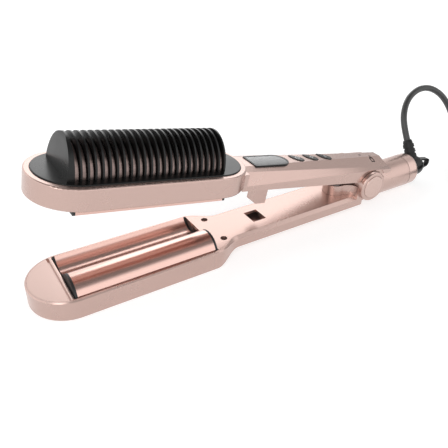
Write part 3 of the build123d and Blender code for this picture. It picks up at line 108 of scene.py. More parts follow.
# ------------------------------------------------------------------ node helpers
class Tree:
    """A node tree with short ways to add nodes and join them."""

    def __init__(self, tree: bpy.types.NodeTree) -> None:
        """Keep the tree that nodes are added to."""
        self.tree = tree

    def add(self, kind: str, **inputs: object) -> bpy.types.Node:
        """Add one node and set or join its inputs.

        Args:
            kind: The node's type name.
            **inputs: Socket names with spaces as underscores, each a value or the socket that feeds it.

        Returns:
            The new node.
        """
        node = self.tree.nodes.new(kind)
        for name, value in inputs.items():
            self.join(node, name.replace("_", " "), value)
        return node

    def join(self, node: bpy.types.Node, name: str, value: object) -> None:
        """Set one input of a node, or feed it from a socket.

        Args:
            node: The node.
            name: The input's name.
            value: A number, a colour, a vector or the socket that feeds it.
        """
        socket = node.inputs[name]
        if isinstance(value, bpy.types.NodeSocket):
            self.tree.links.new(value, socket)
        elif isinstance(value, tuple) and socket.type == "RGBA":
            socket.default_value = (*value, 1.0)
        else:
            socket.default_value = value

    def math(self, operation: str, first: object, second: object = 0.0) -> bpy.types.NodeSocket:
        """Add a math node.

        Args:
            operation: What it does.
            first: Its first value or the socket that feeds it.
            second: Its second value or the socket that feeds it.

        Returns:
            The result's socket.
        """
        node = self.tree.nodes.new("ShaderNodeMath")
        node.operation = operation
        for index, value in enumerate((first, second)):
            if isinstance(value, bpy.types.NodeSocket):
                self.tree.links.new(value, node.inputs[index])
            else:
                node.inputs[index].default_value = value
        return node.outputs[0]

    def blend(self, share: object, first: object, second: object) -> bpy.types.NodeSocket:
        """Mix two colours.

        Args:
            share: 0 gives the first colour and 1 the second.
            first: The first colour or the socket that feeds it.
            second: The second colour or the socket that feeds it.

        Returns:
            The result's socket.
        """
        node = self.tree.nodes.new("ShaderNodeMix")
        node.data_type = "RGBA"
        for index, value in ((0, share), (6, first), (7, second)):
            if isinstance(value, bpy.types.NodeSocket):
                self.tree.links.new(value, node.inputs[index])
            elif isinstance(value, tuple):
                node.inputs[index].default_value = (*value, 1.0)
            else:
                node.inputs[index].default_value = value
        return node.outputs[2]

    def ramp(self, value: bpy.types.NodeSocket, low: float, high: float) -> bpy.types.NodeSocket:
        """Stretch a value so that low gives 0 and high gives 1, held between them.

        Args:
            value: The socket to read.
            low: Its value that gives 0.
            high: Its value that gives 1.

        Returns:
            The result's socket.
        """
        node = self.tree.nodes.new("ShaderNodeMapRange")
        self.tree.links.new(value, node.inputs["Value"])
        node.inputs["From Min"].default_value = low
        node.inputs["From Max"].default_value = high
        return node.outputs["Result"]

    def combine(self, operation: str, first: object, second: object) -> bpy.types.Node:
        """Add a vector math node.

        Args:
            operation: What it does.
            first: Its first vector or the socket that feeds it.
            second: Its second vector or the socket that feeds it.

        Returns:
            The new node.
        """
        node = self.tree.nodes.new("ShaderNodeVectorMath")
        node.operation = operation
        for index, value in enumerate((first, second)):
            if isinstance(value, bpy.types.NodeSocket):
                self.tree.links.new(value, node.inputs[index])
            else:
                node.inputs[index].default_value = value
        return node


def effect(name: str, inputs: dict[str, float], outputs: Sequence[str]) -> tuple[bpy.types.NodeTree, Tree]:
    """Start a shared effect: a node group with a place, named numbers and named results.

    Args:
        name: The effect's name.
        inputs: Each number's name and its usual value.
        outputs: The names of the results, each a number.

    Returns:
        The group and a Tree to fill it with.
    """
    group = bpy.data.node_groups.new(name, "ShaderNodeTree")
    group.interface.new_socket("Place", in_out="INPUT", socket_type="NodeSocketVector")
    for title, value in inputs.items():
        socket = group.interface.new_socket(title, in_out="INPUT", socket_type="NodeSocketFloat")
        socket.default_value = value
    for title in outputs:
        group.interface.new_socket(title, in_out="OUTPUT", socket_type="NodeSocketFloat")
    return group, Tree(group)


class Effects:
    """The effects that several finishes share, each built once.

    A range gives the noise at which a result is 0 and the noise at which it is 1.
    """

    SPARK_SHARE = 0.55              # of the lacquer's tone comes from its flakes, the rest from the drift
    BROAD_SCALE = 0.17              # of the broad lines, beside the fine ones
    GRIT_SCALE = 3.1                # of the grit, beside the pits
    PIT_RANGE = (0.35, 0.7)
    SMEAR_RANGE = (0.42, 0.75)
    RARE_RANGE = (0.62, 0.7)        # where scratches show at all
    SCRATCH_SCALE = 5.0             # of the scratches, beside the smears
    SCRATCH_WIDTH = 0.012           # of a cell

    def __init__(self) -> None:
        """Build every effect."""
        self.flakes = self._flakes()
        self.brushing = self._brushing()
        self.grain = self._grain()
        self.handling = self._handling()

    def _flakes(self) -> bpy.types.NodeTree:
        """Pearl flakes in a lacquer: cells of random brightness, with a slow drift of tone."""
        group, tree = effect("pearl flakes", {"Size": 0.3 * MM, "Drift": 30.0 * MM}, ("Tone", "Height"))
        given = tree.add("NodeGroupInput")
        scale = tree.math("DIVIDE", 1.0, given.outputs["Size"])
        cells = tree.add("ShaderNodeTexVoronoi", Vector=given.outputs["Place"], Scale=scale)
        slow = tree.add("ShaderNodeTexNoise", Vector=given.outputs["Place"],
                        Scale=tree.math("DIVIDE", 1.0, given.outputs["Drift"]), Detail=2.0)
        spark = tree.add("ShaderNodeSeparateColor", Color=cells.outputs["Color"]).outputs[0]
        tone = tree.math("ADD", tree.math("MULTIPLY", spark, self.SPARK_SHARE),
                         tree.math("MULTIPLY", slow.outputs["Fac"], 1.0 - self.SPARK_SHARE))
        tree.add("NodeGroupOutput", Tone=tone, Height=spark)
        return group

    def _brushing(self) -> bpy.types.NodeTree:
        """Brushed lines along X: noise drawn out lengthwise, in two widths."""
        group, tree = effect("brushing", {"Width": 0.2 * MM, "Length": 20.0 * MM}, ("Line", "Height"))
        given = tree.add("NodeGroupInput")
        across = tree.math("DIVIDE", 1.0, given.outputs["Width"])
        along = tree.math("DIVIDE", 1.0, given.outputs["Length"])
        size = tree.add("ShaderNodeCombineXYZ", X=along, Y=across, Z=across)
        drawn = tree.combine("MULTIPLY", given.outputs["Place"], size.outputs[0]).outputs[0]
        fine = tree.add("ShaderNodeTexNoise", Vector=drawn, Scale=1.0, Detail=3.0)
        broad = tree.add("ShaderNodeTexNoise", Vector=drawn, Scale=self.BROAD_SCALE, Detail=2.0)
        line = tree.math("MULTIPLY", tree.math("ADD", fine.outputs["Fac"], broad.outputs["Fac"]), 0.5)
        tree.add("NodeGroupOutput", Line=line, Height=fine.outputs["Fac"])
        return group

    def _grain(self) -> bpy.types.NodeTree:
        """Spark-eroded grain of a moulding: small soft pits with a finer grit in them."""
        group, tree = effect("moulding grain", {"Size": 0.4 * MM, "Grit": 0.5}, ("Height", "Pits"))
        given = tree.add("NodeGroupInput")
        scale = tree.math("DIVIDE", 1.0, given.outputs["Size"])
        pits = tree.add("ShaderNodeTexNoise", Vector=given.outputs["Place"], Scale=scale, Detail=1.0)
        grit = tree.add("ShaderNodeTexNoise", Vector=given.outputs["Place"],
                        Scale=tree.math("MULTIPLY", scale, self.GRIT_SCALE), Detail=2.0)
        height = tree.math("ADD", pits.outputs["Fac"],
                           tree.math("MULTIPLY", grit.outputs["Fac"], given.outputs["Grit"]))
        tree.add("NodeGroupOutput", Height=height, Pits=tree.ramp(pits.outputs["Fac"], *self.PIT_RANGE))
        return group

    def _handling(self) -> bpy.types.NodeTree:
        """Faint marks of use: broad soft smears and a few short fine scratches."""
        group, tree = effect("handling", {"Spread": 20.0 * MM, "Amount": 0.5}, ("Smear", "Scratch"))
        given = tree.add("NodeGroupInput")
        scale = tree.math("DIVIDE", 1.0, given.outputs["Spread"])
        cloud = tree.add("ShaderNodeTexNoise", Vector=given.outputs["Place"], Scale=scale, Detail=4.0)
        cells = tree.add("ShaderNodeTexVoronoi", Vector=given.outputs["Place"],
                         Scale=tree.math("MULTIPLY", scale, self.SCRATCH_SCALE))
        cells.feature = "DISTANCE_TO_EDGE"
        hair = tree.math("SUBTRACT", 1.0, tree.ramp(cells.outputs["Distance"], 0.0, self.SCRATCH_WIDTH))
        rare = tree.ramp(cloud.outputs["Fac"], *self.RARE_RANGE)
        worn = tree.ramp(cloud.outputs["Fac"], *self.SMEAR_RANGE)
        smear = tree.math("MULTIPLY", worn, given.outputs["Amount"])
        scratch = tree.math("MULTIPLY", tree.math("MULTIPLY", hair, rare), given.outputs["Amount"])
        tree.add("NodeGroupOutput", Smear=smear, Scratch=scratch)
        return group


def placed(tree: Tree, group: bpy.types.NodeTree, place: bpy.types.NodeSocket,
           **values: float) -> bpy.types.Node:
    """Place an effect in a material.

    Args:
        tree: The material's tree.
        group: The effect.
        place: The socket that gives the place on the piece.
        **values: The effect's numbers by name.

    Returns:
        The effect's node, with its results.
    """
    node = tree.tree.nodes.new("ShaderNodeGroup")
    node.node_tree = group
    tree.tree.links.new(place, node.inputs["Place"])
    for name, value in values.items():
        node.inputs[name].default_value = value
    return node


@dataclass(frozen=True)
class Wear:
    """Marks of use on a finish."""

    spread: float                   # size of a smear, in metres
    amount: float                   # how strong the marks are, from 0 to 1
    dulling: float                  # how much rougher a full smear is


class Surface:
    """A material being built: its tree, its shader and the piece's own coordinates."""

    def __init__(self, name: str) -> None:
        """Start a material with one shader and its output."""
        self.material = bpy.data.materials.new(name)
        self.material.use_nodes = True
        nodes = self.material.node_tree.nodes
        nodes.clear()
        self.tree = Tree(self.material.node_tree)
        self.shader = nodes.new("ShaderNodeBsdfPrincipled")
        output = nodes.new("ShaderNodeOutputMaterial")
        self.material.node_tree.links.new(self.shader.outputs[0], output.inputs["Surface"])
        self.place = nodes.new("ShaderNodeTexCoord").outputs["Object"]

    def set(self, **inputs: object) -> None:
        """Set or feed inputs of the shader.

        Args:
            **inputs: Socket names with spaces as underscores, each a value or the socket that feeds it.
        """
        for name, value in inputs.items():
            self.tree.join(self.shader, name.replace("_", " "), value)

    def use(self, effects: Effects, wear: Wear, roughness: object) -> tuple[bpy.types.NodeSocket, ...]:
        """Add marks of use.

        Args:
            effects: The shared effects.
            wear: How broad and strong the marks are.
            roughness: The roughness where there is no mark, or the socket that feeds it.

        Returns:
            The worn roughness, and where scratches are.
        """
        marks = placed(self.tree, effects.handling, self.place, Spread=wear.spread, Amount=wear.amount)
        duller = self.tree.math("MULTIPLY", marks.outputs["Smear"], wear.dulling)
        return self.tree.math("ADD", duller, roughness), marks.outputs["Scratch"]

    def bump(self, height: bpy.types.NodeSocket, depth: float) -> None:
        """Feed the shader's normal from a height.

        Args:
            height: The height's socket, from 0 to about 1.
            depth: What 1 stands for, in metres.
        """
        node = self.tree.add("ShaderNodeBump", Height=height, Distance=depth, Strength=1.0)
        self.set(Normal=node.outputs["Normal"])


# ------------------------------------------------------------------ finishes
@dataclass(frozen=True)
class PearlLacquer:
    """Champagne lacquer with pearl flakes over moulded plastic."""

    name: str
    base: Colour
    shade: Colour
    metallic: float = 0.85
    roughness: float = 0.27
    coat: float = 0.15
    coat_roughness: float = 0.22
    flake: float = 0.22 * MM
    flake_depth: float = 0.0009 * MM
    drift: float = 50.0 * MM
    tones: tuple[float, float] = (0.2, 0.8)
    wear: Wear = Wear(30.0 * MM, 0.4, 0.025)

    def build(self, effects: Effects) -> bpy.types.Material:
        """Build the lacquer: flakes vary its tone, smears its gloss.

        Args:
            effects: The shared effects.

        Returns:
            The finished material.
        """
        skin = Surface(self.name)
        flakes = placed(skin.tree, effects.flakes, skin.place, Size=self.flake, Drift=self.drift)
        tone = skin.tree.ramp(flakes.outputs["Tone"], *self.tones)
        gloss, _ = skin.use(effects, self.wear, self.roughness)
        skin.set(Base_Color=skin.tree.blend(tone, self.shade, self.base), Metallic=self.metallic,
                 Roughness=gloss, Coat_Weight=self.coat, Coat_Roughness=self.coat_roughness)
        skin.bump(flakes.outputs["Height"], self.flake_depth)
        return skin.material


@dataclass(frozen=True)
class AnodisedMetal:
    """Polished, anodised metal with lines drawn along the arm."""

    name: str
    base: Colour
    deep: Colour
    roughness: float = 0.2
    width: float = 0.25 * MM
    length: float = 30.0 * MM
    depth: float = 0.002 * MM
    tones: tuple[float, float] = (0.3, 0.7)
    line_dulling: float = 0.08
    wear: Wear = Wear(25.0 * MM, 0.5, 0.05)

    def build(self, effects: Effects) -> bpy.types.Material:
        """Build the metal: drawn lines vary its tone, gloss and normal."""
        skin = Surface(self.name)
        lines = placed(skin.tree, effects.brushing, skin.place, Width=self.width, Length=self.length)
        tone = skin.tree.ramp(lines.outputs["Line"], *self.tones)
        gloss = skin.tree.math("ADD", skin.tree.math("MULTIPLY", tone, self.line_dulling), self.roughness)
        gloss, _ = skin.use(effects, self.wear, gloss)
        skin.set(Base_Color=skin.tree.blend(tone, self.deep, self.base), Metallic=1.0, Roughness=gloss)
        skin.bump(lines.outputs["Height"], self.depth)
        return skin.material


@dataclass(frozen=True)
class MouldedPlastic:
    """Plain moulded plastic or rubber with an eroded grain."""

    name: str
    base: Colour
    light: Colour
    roughness: float = 0.45
    grain: float = 0.4 * MM
    grit: float = 0.4
    depth: float = 0.01 * MM
    specular: float = 0.5
    pit_tone: float = 0.35
    scratch_tone: float = 0.4
    wear: Wear = Wear(20.0 * MM, 0.6, 0.12)

    def build(self, effects: Effects) -> bpy.types.Material:
        """Build the plastic: grain on its normal, smears on its gloss, pits and scratches in its tone."""
        skin = Surface(self.name)
        pits = placed(skin.tree, effects.grain, skin.place, Size=self.grain, Grit=self.grit)
        gloss, scratch = skin.use(effects, self.wear, self.roughness)
        share = skin.tree.math("MULTIPLY", pits.outputs["Pits"], self.pit_tone)
        share = skin.tree.math("ADD", share, skin.tree.math("MULTIPLY", scratch, self.scratch_tone))
        skin.set(Base_Color=skin.tree.blend(share, self.base, self.light), Roughness=gloss,
                 Specular_IOR_Level=self.specular)
        skin.bump(pits.outputs["Height"], self.depth)
        return skin.material


@dataclass(frozen=True)
class SmokedWindow:
    """Smoked gloss window of the display, with a painted reflection: pale grey along its far edge, near
    black at its near edge.
    """

    name: str
    far: Colour
    near: Colour
    half: float = 6.5 * MM
    roughness: float = 0.06
    clearness: float = 0.6
    refraction: float = 1.4
    wear: Wear = Wear(12.0 * MM, 0.5, 0.08)

    def build(self, effects: Effects) -> bpy.types.Material:
        """Build the window: a glossy sheet whose colour follows Y as a painted reflection, with faint
        smears.
        """
        skin = Surface(self.name)
        gloss, _ = skin.use(effects, self.wear, self.roughness)
        parts = skin.tree.add("ShaderNodeSeparateXYZ", Vector=skin.place)
        # painted reflection: the colour runs from the near, dark colour at the near edge to the far, pale
        # colour at the far edge
        share = skin.tree.ramp(parts.outputs["Y"], -self.half, self.half)
        skin.set(Base_Color=skin.tree.blend(share, self.near, self.far), Roughness=gloss, Metallic=0.0,
                 Transmission_Weight=self.clearness, IOR=self.refraction)
        return skin.material


@dataclass(frozen=True)
class UnlitPanel:
    """Unlit display panel with a painted reflection that runs from grey at its far edge to near black."""

    name: str
    far: Colour
    near: Colour
    half: float = 8.5 * MM
    roughness: float = 0.5
    cell: float = 0.3 * MM
    grit: float = 0.2
    cell_tone: float = 0.05
    depth: float = 0.002 * MM

    def build(self, effects: Effects) -> bpy.types.Material:
        """Build the panel: the tone follows Y as a painted reflection, with a faint cell pattern."""
        skin = Surface(self.name)
        parts = skin.tree.add("ShaderNodeSeparateXYZ", Vector=skin.place)
        # painted reflection: grey at the far edge, near black at the near edge
        share = skin.tree.ramp(parts.outputs["Y"], -self.half, self.half)
        cells = placed(skin.tree, effects.grain, skin.place, Size=self.cell, Grit=self.grit)
        speck = skin.tree.math("MULTIPLY", cells.outputs["Pits"], self.cell_tone)
        tone = skin.tree.math("ADD", share, speck)
        skin.set(Base_Color=skin.tree.blend(tone, self.near, self.far), Roughness=self.roughness)
        skin.bump(cells.outputs["Height"], self.depth)
        return skin.material


@dataclass(frozen=True)
class GlowingFloor:
    """Matt floor lit a little from within, so that shadows stay faint."""

    name: str
    tint: Colour
    glow: float
    roughness: float = 0.85
    specular: float = 0.1
    grain: float = 4.0 * MM
    grit: float = 0.2
    depth: float = 0.01 * MM

    def build(self, effects: Effects) -> bpy.types.Material:
        """Build the floor: a matt sheet with a faint grain."""
        skin = Surface(self.name)
        grain = placed(skin.tree, effects.grain, skin.place, Size=self.grain, Grit=self.grit)
        skin.set(Base_Color=self.tint, Roughness=self.roughness, Specular_IOR_Level=self.specular,
                 Emission_Color=WHITE, Emission_Strength=self.glow)
        skin.bump(grain.outputs["Height"], self.depth)
        return skin.material


class Finish(Enum):
    """Every finish of the tool and its stage."""

    LACQUER = PearlLacquer("champagne lacquer", (0.54, 0.385, 0.342), (0.5, 0.356, 0.315))
    # A lighter copy of the lacquer for the tip cap, the hinge caps and the lock ring: its lighter colour is
    # painted light, and its lower roughness and thicker coat make it glossier.
    LIT_LACQUER = PearlLacquer("champagne lacquer lightened as painted light", (0.61, 0.445, 0.397), (0.56, 0.405, 0.36),
                                  roughness=0.24, coat=0.2)
    WAVE_METAL = AnodisedMetal("rose anodised metal", (0.7, 0.47, 0.415), (0.66, 0.435, 0.38),
                               width=0.6 * MM, depth=0.0004 * MM)
    BLACK = MouldedPlastic("black heat-proof plastic", (0.004, 0.004, 0.004), (0.01, 0.01, 0.01),
                           roughness=0.27, specular=0.3)
    GRAPHITE = MouldedPlastic("graphite gloss plastic", (0.022, 0.02, 0.019), (0.036, 0.033, 0.031),
                              roughness=0.22, depth=0.003 * MM, specular=0.28)
    SEAL = MouldedPlastic("black end seal", (0.008, 0.008, 0.008), (0.02, 0.02, 0.02), roughness=0.5)
    HOT_FIN = AnodisedMetal("brown coated fin metal", (0.3, 0.225, 0.21), (0.15, 0.11, 0.1),
                            roughness=0.27)
    STEEL = AnodisedMetal("bare steel", (0.6, 0.6, 0.61), (0.42, 0.42, 0.43), roughness=0.3)
    # The window's and the panel's colours run from pale at the far edge to dark at the near edge as a
    # painted reflection.
    WINDOW = SmokedWindow("smoked window", (0.8, 0.81, 0.82), (0.03, 0.03, 0.032))
    PANEL = UnlitPanel("unlit panel", (0.6, 0.6, 0.6), (0.1, 0.1, 0.1))
    BOARD = MouldedPlastic("green board lacquer", (0.02, 0.11, 0.05), (0.03, 0.16, 0.08), roughness=0.35)
    FILM = MouldedPlastic("amber heater film", (0.55, 0.3, 0.1), (0.65, 0.4, 0.16), roughness=0.3)
    CARRIER = MouldedPlastic("pale heat-proof carrier", (0.55, 0.52, 0.46), (0.62, 0.59, 0.53),
                             roughness=0.7)
    CABLE = MouldedPlastic("cable sheath", (0.03, 0.03, 0.03), (0.05, 0.05, 0.051), roughness=0.42)
    SLEEVE = MouldedPlastic("black cable sleeve", (0.012, 0.012, 0.012), (0.022, 0.022, 0.022),
                            specular=0.25)
    PLUG = MouldedPlastic("black plug", (0.012, 0.012, 0.012), (0.025, 0.025, 0.025), roughness=0.4)
    PIN = AnodisedMetal("plated pin metal", (0.72, 0.66, 0.5), (0.6, 0.54, 0.4), roughness=0.25)
    PRINT = MouldedPlastic("dark print", (0.006, 0.005, 0.005), (0.012, 0.01, 0.01),
                           roughness=0.6, depth=0.002 * MM, specular=0.1)
    PALE_PRINT = MouldedPlastic("pale print", (0.55, 0.55, 0.55), (0.68, 0.68, 0.68),
                                roughness=0.5, depth=0.002 * MM)
    FLOOR = GlowingFloor("pale lit floor", (0.6, 0.6, 0.6), 0.58)


class Palette:
    """Builds each finish once and hands out its material."""

    def __init__(self) -> None:
        """Build the shared effects."""
        self.effects = Effects()
        self._made: dict[Finish, bpy.types.Material] = {}

    def __getitem__(self, finish: Finish) -> bpy.types.Material:
        """The material of a finish."""
        if finish not in self._made:
            self._made[finish] = finish.value.build(self.effects)
        return self._made[finish]

    def dress(self, piece: bpy.types.Object, finish: Finish) -> None:
        """Give a whole piece one finish.

        Args:
            piece: The piece.
            finish: Its finish.
        """
        piece.data.materials.clear()
        piece.data.materials.append(self[finish])


# ------------------------------------------------------------------ mesh helpers
def grid_faces(rows: int, columns: int, wrap: bool = False) -> np.ndarray:
    """Corner numbers of the four-sided faces of a grid.

    Args:
        rows: Number of points along the first direction.
        columns: Number of points along the second direction.
        wrap: Whether the second direction closes on itself.

    Returns:
        One row of four corner numbers for each face.
    """
    last = columns if wrap else columns - 1
    row, column = np.meshgrid(np.arange(rows - 1), np.arange(last), indexing="ij")
    beside = (column + 1) % columns
    corners = (row * columns + column, row * columns + beside,
               (row + 1) * columns + beside, (row + 1) * columns + column)
    return np.stack(corners, axis=-1).reshape(-1, 4)


def piece_from(name: str, points: np.ndarray, faces: Iterable[Sequence[int]], smooth: bool = True,
               solid: bool = True) -> bpy.types.Object:
    """Make a piece from its points and faces.

    Args:
        name: The piece's name.
        points: Rows of x, y, z in metres.
        faces: Corner numbers of each face.
        smooth: Whether it is shaded smooth.
        solid: Whether it is closed, so that its faces are turned outwards.

    Returns:
        The new object, linked to the scene.
    """
    mesh = bpy.data.meshes.new(name)
    mesh.from_pydata(np.asarray(points, dtype=float).tolist(), [], [list(map(int, face)) for face in faces])
    if solid:
        work = bmesh.new()
        work.from_mesh(mesh)
        bmesh.ops.recalc_face_normals(work, faces=work.faces)
        work.to_mesh(mesh)
        work.free()
    mesh.polygons.foreach_set("use_smooth", np.full(len(mesh.polygons), smooth))
    mesh.update()
    piece = bpy.data.objects.new(name, mesh)
    bpy.context.scene.collection.objects.link(piece)
    return piece


# ------------------------------------------------------------------ studio
@dataclass(frozen=True)
class Softbox:
    """A square soft light that faces the tool: its place and side in metres, its power in watts."""

    name: str
    place: Point
    side: float
    power: float


@dataclass
class Studio:
    """Pale floor, soft light and the camera.

    The edges are the sine of the climb, and the cosine of the turn away from the gap's middle, between
    which the light changes. The gap's depth is the share of the walls' extra light that it lacks.
    """

    target: Point = at(-122.14, 0.0, 23.81)
    distance: float = 339.47 * MM
    azimuth: float = -31.596
    elevation: float = 32.381
    roll: float = 1.098
    lens: float = 43.37
    shift: tuple[float, float] = (0.0271, -0.0199)
    near_limit: float = 10.0 * MM
    floor_half: float = 3.0
    wall_light: float = 1.5
    ceiling_light: float = 0.25
    ceiling_edge: tuple[float, float] = (0.64, 0.74)
    gap_middle: Point = (0.978, 0.208, 0.0)
    gap_edge: tuple[float, float] = (0.72, 0.84)
    gap_depth: float = 0.66
    softboxes: tuple[Softbox, ...] = (
        Softbox("key light", (0.42, 0.78, 0.45), 0.7, 1.6),
        Softbox("side light", (-0.75, -0.6, 0.8), 0.5, 2.2),
    )

    def build_camera(self) -> None:
        """Stand the camera at its angles and distance from the target."""
        turn, rise, roll = map(math.radians, (self.azimuth, self.elevation, self.roll))
        back = Vector((math.sin(turn) * math.cos(rise), -math.cos(turn) * math.cos(rise), math.sin(rise)))
        level = Vector((math.cos(turn), math.sin(turn), 0.0))
        upright = back.cross(level)
        right = level * math.cos(roll) + upright * math.sin(roll)
        up = upright * math.cos(roll) - level * math.sin(roll)
        data = bpy.data.cameras.new("camera")
        data.lens = self.lens
        data.shift_x, data.shift_y = self.shift
        data.clip_start = self.near_limit
        camera = bpy.data.objects.new("camera", data)
        bpy.context.scene.collection.objects.link(camera)
        place = Matrix((right, up, back)).transposed().to_4x4()
        place.translation = Vector(self.target) + back * self.distance
        camera.matrix_world = place
        bpy.context.scene.camera = camera

    def build_floor(self, palette: Palette) -> None:
        """Lay a wide plain floor."""
        corners = self.floor_half * np.array([(-1, -1, 0), (1, -1, 0), (1, 1, 0), (-1, 1, 0)], dtype=float)
        floor = piece_from("floor", corners, [(0, 1, 2, 3)], smooth=False, solid=False)
        palette.dress(floor, Finish.FLOOR)

    def build_world(self) -> None:
        """Light the surroundings: bright walls below a dim ceiling, with a dim gap between two of them.

        The strength is the walls', less a share that rises from 0 to 1 as the direction climbs to the
        ceiling, or as it turns to the middle of the gap. Seen directly, it is white all over.
        """
        world = bpy.data.worlds.new("studio")
        bpy.context.scene.world = world
        world.use_nodes = True
        world.node_tree.nodes.clear()
        tree = Tree(world.node_tree)
        place = tree.add("ShaderNodeTexCoord").outputs["Generated"]
        height = tree.add("ShaderNodeSeparateXYZ", Vector=place).outputs["Z"]
        nearness = tree.combine("DOT_PRODUCT", place, self.gap_middle).outputs["Value"]
        gap = tree.math("MULTIPLY", tree.ramp(nearness, *self.gap_edge), self.gap_depth)
        share = tree.math("MAXIMUM", tree.ramp(height, *self.ceiling_edge), gap)
        loss = tree.math("MULTIPLY", share, self.wall_light - self.ceiling_light)
        strength = tree.math("SUBTRACT", self.wall_light, loss)
        seen = tree.add("ShaderNodeLightPath").outputs["Is Camera Ray"]
        strength = tree.math("MAXIMUM", strength, seen)
        sky = tree.add("ShaderNodeBackground", Color=WHITE, Strength=strength)
        tree.add("ShaderNodeOutputWorld", Surface=sky.outputs[0])

    def hang(self, box: Softbox) -> None:
        """Hang a soft light and turn it to the tool.

        Args:
            box: The light.
        """
        data = bpy.data.lights.new(box.name, "AREA")
        data.size = box.side
        data.energy = box.power
        lamp = bpy.data.objects.new(box.name, data)
        bpy.context.scene.collection.objects.link(lamp)
        lamp.location = box.place
        lamp.rotation_euler = (Vector(box.place) - Vector(self.target)).to_track_quat("Z", "Y").to_euler()

    def build(self, palette: Palette) -> None:
        """Build the whole studio."""
        bpy.context.scene.view_settings.view_transform = "Standard"
        self.build_camera()
        self.build_floor(palette)
        self.build_world()
        for box in self.softboxes:
            self.hang(box)
        log.info("studio: camera, floor and lights")


# ------------------------------------------------------------------ cord
@dataclass
class Cord:
    """The mains lead: out of its sleeve, over, down to the floor and into a round coil.

    Its length and radius are in metres, and all its other sizes and places in millimetres from the
    hinge's foot. A span is a part of each turn, as two shares of that turn.
    """

    length: float = 1.8
    radius: float = 2.4 * MM
    tilt: float = math.radians(32.0)
    swivel: tuple[float, float] = (64.5, 12.1)
    sleeve_tip: float = 20.6
    hidden: float = 2.0
    lead: float = 12.5
    coil_centre: tuple[float, float] = (124.0, -38.0)
    coil_radius: float = 27.0
    turns_wide: int = 3
    layers: int = 3
    per_turn: int = 16
    shift_span: tuple[float, float] = (0.6, 1.0)
    rise_span: tuple[float, float] = (0.55, 0.85)
    plug_setback: float = 10.0
    plug_height: float = 4.5
    plug_run: float = 5.0
    plug_entry: float = 1.0
    route: tuple[Point, ...] = (
        (69.0, 23.6, 50.2),
        (77.5, 28.1, 57.4),
        (90.2, 30.7, 61.2),
        (103.4, 30.4, 60.2),
        (115.4, 27.3, 53.8),
        (124.1, 23.4, 43.5),
        (130.0, 19.4, 31.0),
        (134.7, 14.5, 19.6),
        (139.8, 8.0, 11.6),
        (144.8, -1.4, 6.4),
        (149.0, -12.8, 3.6),
        (151.0, -25.2, 2.6),
    )

    def along_sleeve(self, reach: float) -> Point:
        """The point on the sleeve's centre line.

        Args:
            reach: How far it is from the tail's axis.

        Returns:
            Its place in metres.
        """
        x, z = self.swivel
        return at(x, reach * math.sin(self.tilt), z + reach * math.cos(self.tilt))

    def coil_points(self) -> list[Point]:
        """The coil's turns, wound clockwise in layers that run in, out and in again.

        In each turn the radius stays the same, then eases by one cord's width to the next turn. At a
        layer's last turn the height rises by one cord's width instead.

        Returns:
            Places in metres along the turns.
        """
        width = 2 * self.radius / MM
        outer = self.coil_radius + (self.turns_wide - 1) / 2 * width
        points = []
        total = self.turns_wide * self.layers
        for step in range(1, total * self.per_turn):
            turn, share = divmod(step / self.per_turn, 1.0)
            layer, ring = divmod(int(turn), self.turns_wide)
            outwards = layer % 2 == 1
            place = self.turns_wide - 1 - ring if outwards else ring
            ending = ring == self.turns_wide - 1
            shift = 0.0 if ending else ease(share, *self.shift_span) * (-1 if outwards else 1)
            rise = ease(share, *self.rise_span) if ending and layer < self.layers - 1 else 0.0
            radius = outer - (place + shift) * width
            angle = -2 * math.pi * step / self.per_turn
            points.append(at(self.coil_centre[0] + radius * math.cos(angle),
                             self.coil_centre[1] + radius * math.sin(angle),
                             self.radius / MM + (layer + rise) * width))
        return points

    def last_rise(self) -> list[Point]:
        """The end of the cord: nearly one more turn that climbs from the top layer into the plug.

        Returns:
            Places in metres, the last one inside the plug.
        """
        width = 2 * self.radius / MM
        inner = self.coil_radius - (self.turns_wide - 1) / 2 * width
        top = self.layers * width - self.radius / MM
        goal = self.layers * width + self.plug_height
        points = []
        steps = self.per_turn - 2
        for step in range(steps):
            share = step / (steps - 1)
            radius = inner + (self.coil_radius - inner) * ease(share)
            angle = -2 * math.pi * step / self.per_turn
            points.append(at(self.coil_centre[0] + radius * math.cos(angle),
                             self.coil_centre[1] + radius * math.sin(angle),
                             top + (goal - top) * ease(share)))
        end_x = self.coil_centre[0] + self.coil_radius
        end_y = self.coil_centre[1] + self.plug_setback
        return points + [at(end_x, end_y + self.plug_run, goal), at(end_x, end_y - self.plug_entry, goal)]

    def build(self, palette: Palette) -> None:
        curve = bpy.data.curves.new("mains_lead", "CURVE")
        curve.dimensions = "3D"
        curve.bevel_depth = self.radius
        curve.bevel_resolution = 5
        curve.resolution_u = 6
        reaches = (self.sleeve_tip - self.hidden, self.sleeve_tip + self.lead)
        points = [self.along_sleeve(reach) for reach in reaches]
        points += [at(*point) for point in self.route]
        points += self.coil_points() + self.last_rise()
        spline = curve.splines.new("NURBS")
        spline.points.add(len(points) - 1)
        spline.points.foreach_set("co", np.column_stack((np.array(points), np.ones(len(points)))).ravel())
        spline.order_u = 3
        spline.use_endpoint_u = True
        lead = bpy.data.objects.new("mains_lead", curve)
        bpy.context.scene.collection.objects.link(lead)
        palette.dress(lead, Finish.CABLE)
        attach(lead, "cord_swivel")
        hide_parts("cord_tube", "cord_coil")
        plug = [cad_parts["plug_body"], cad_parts["plug_pins"]]
        self.along_sleeve(self.sleeve_tip)
        2 * self.radius
        log.info("cord: %d points", len(points))


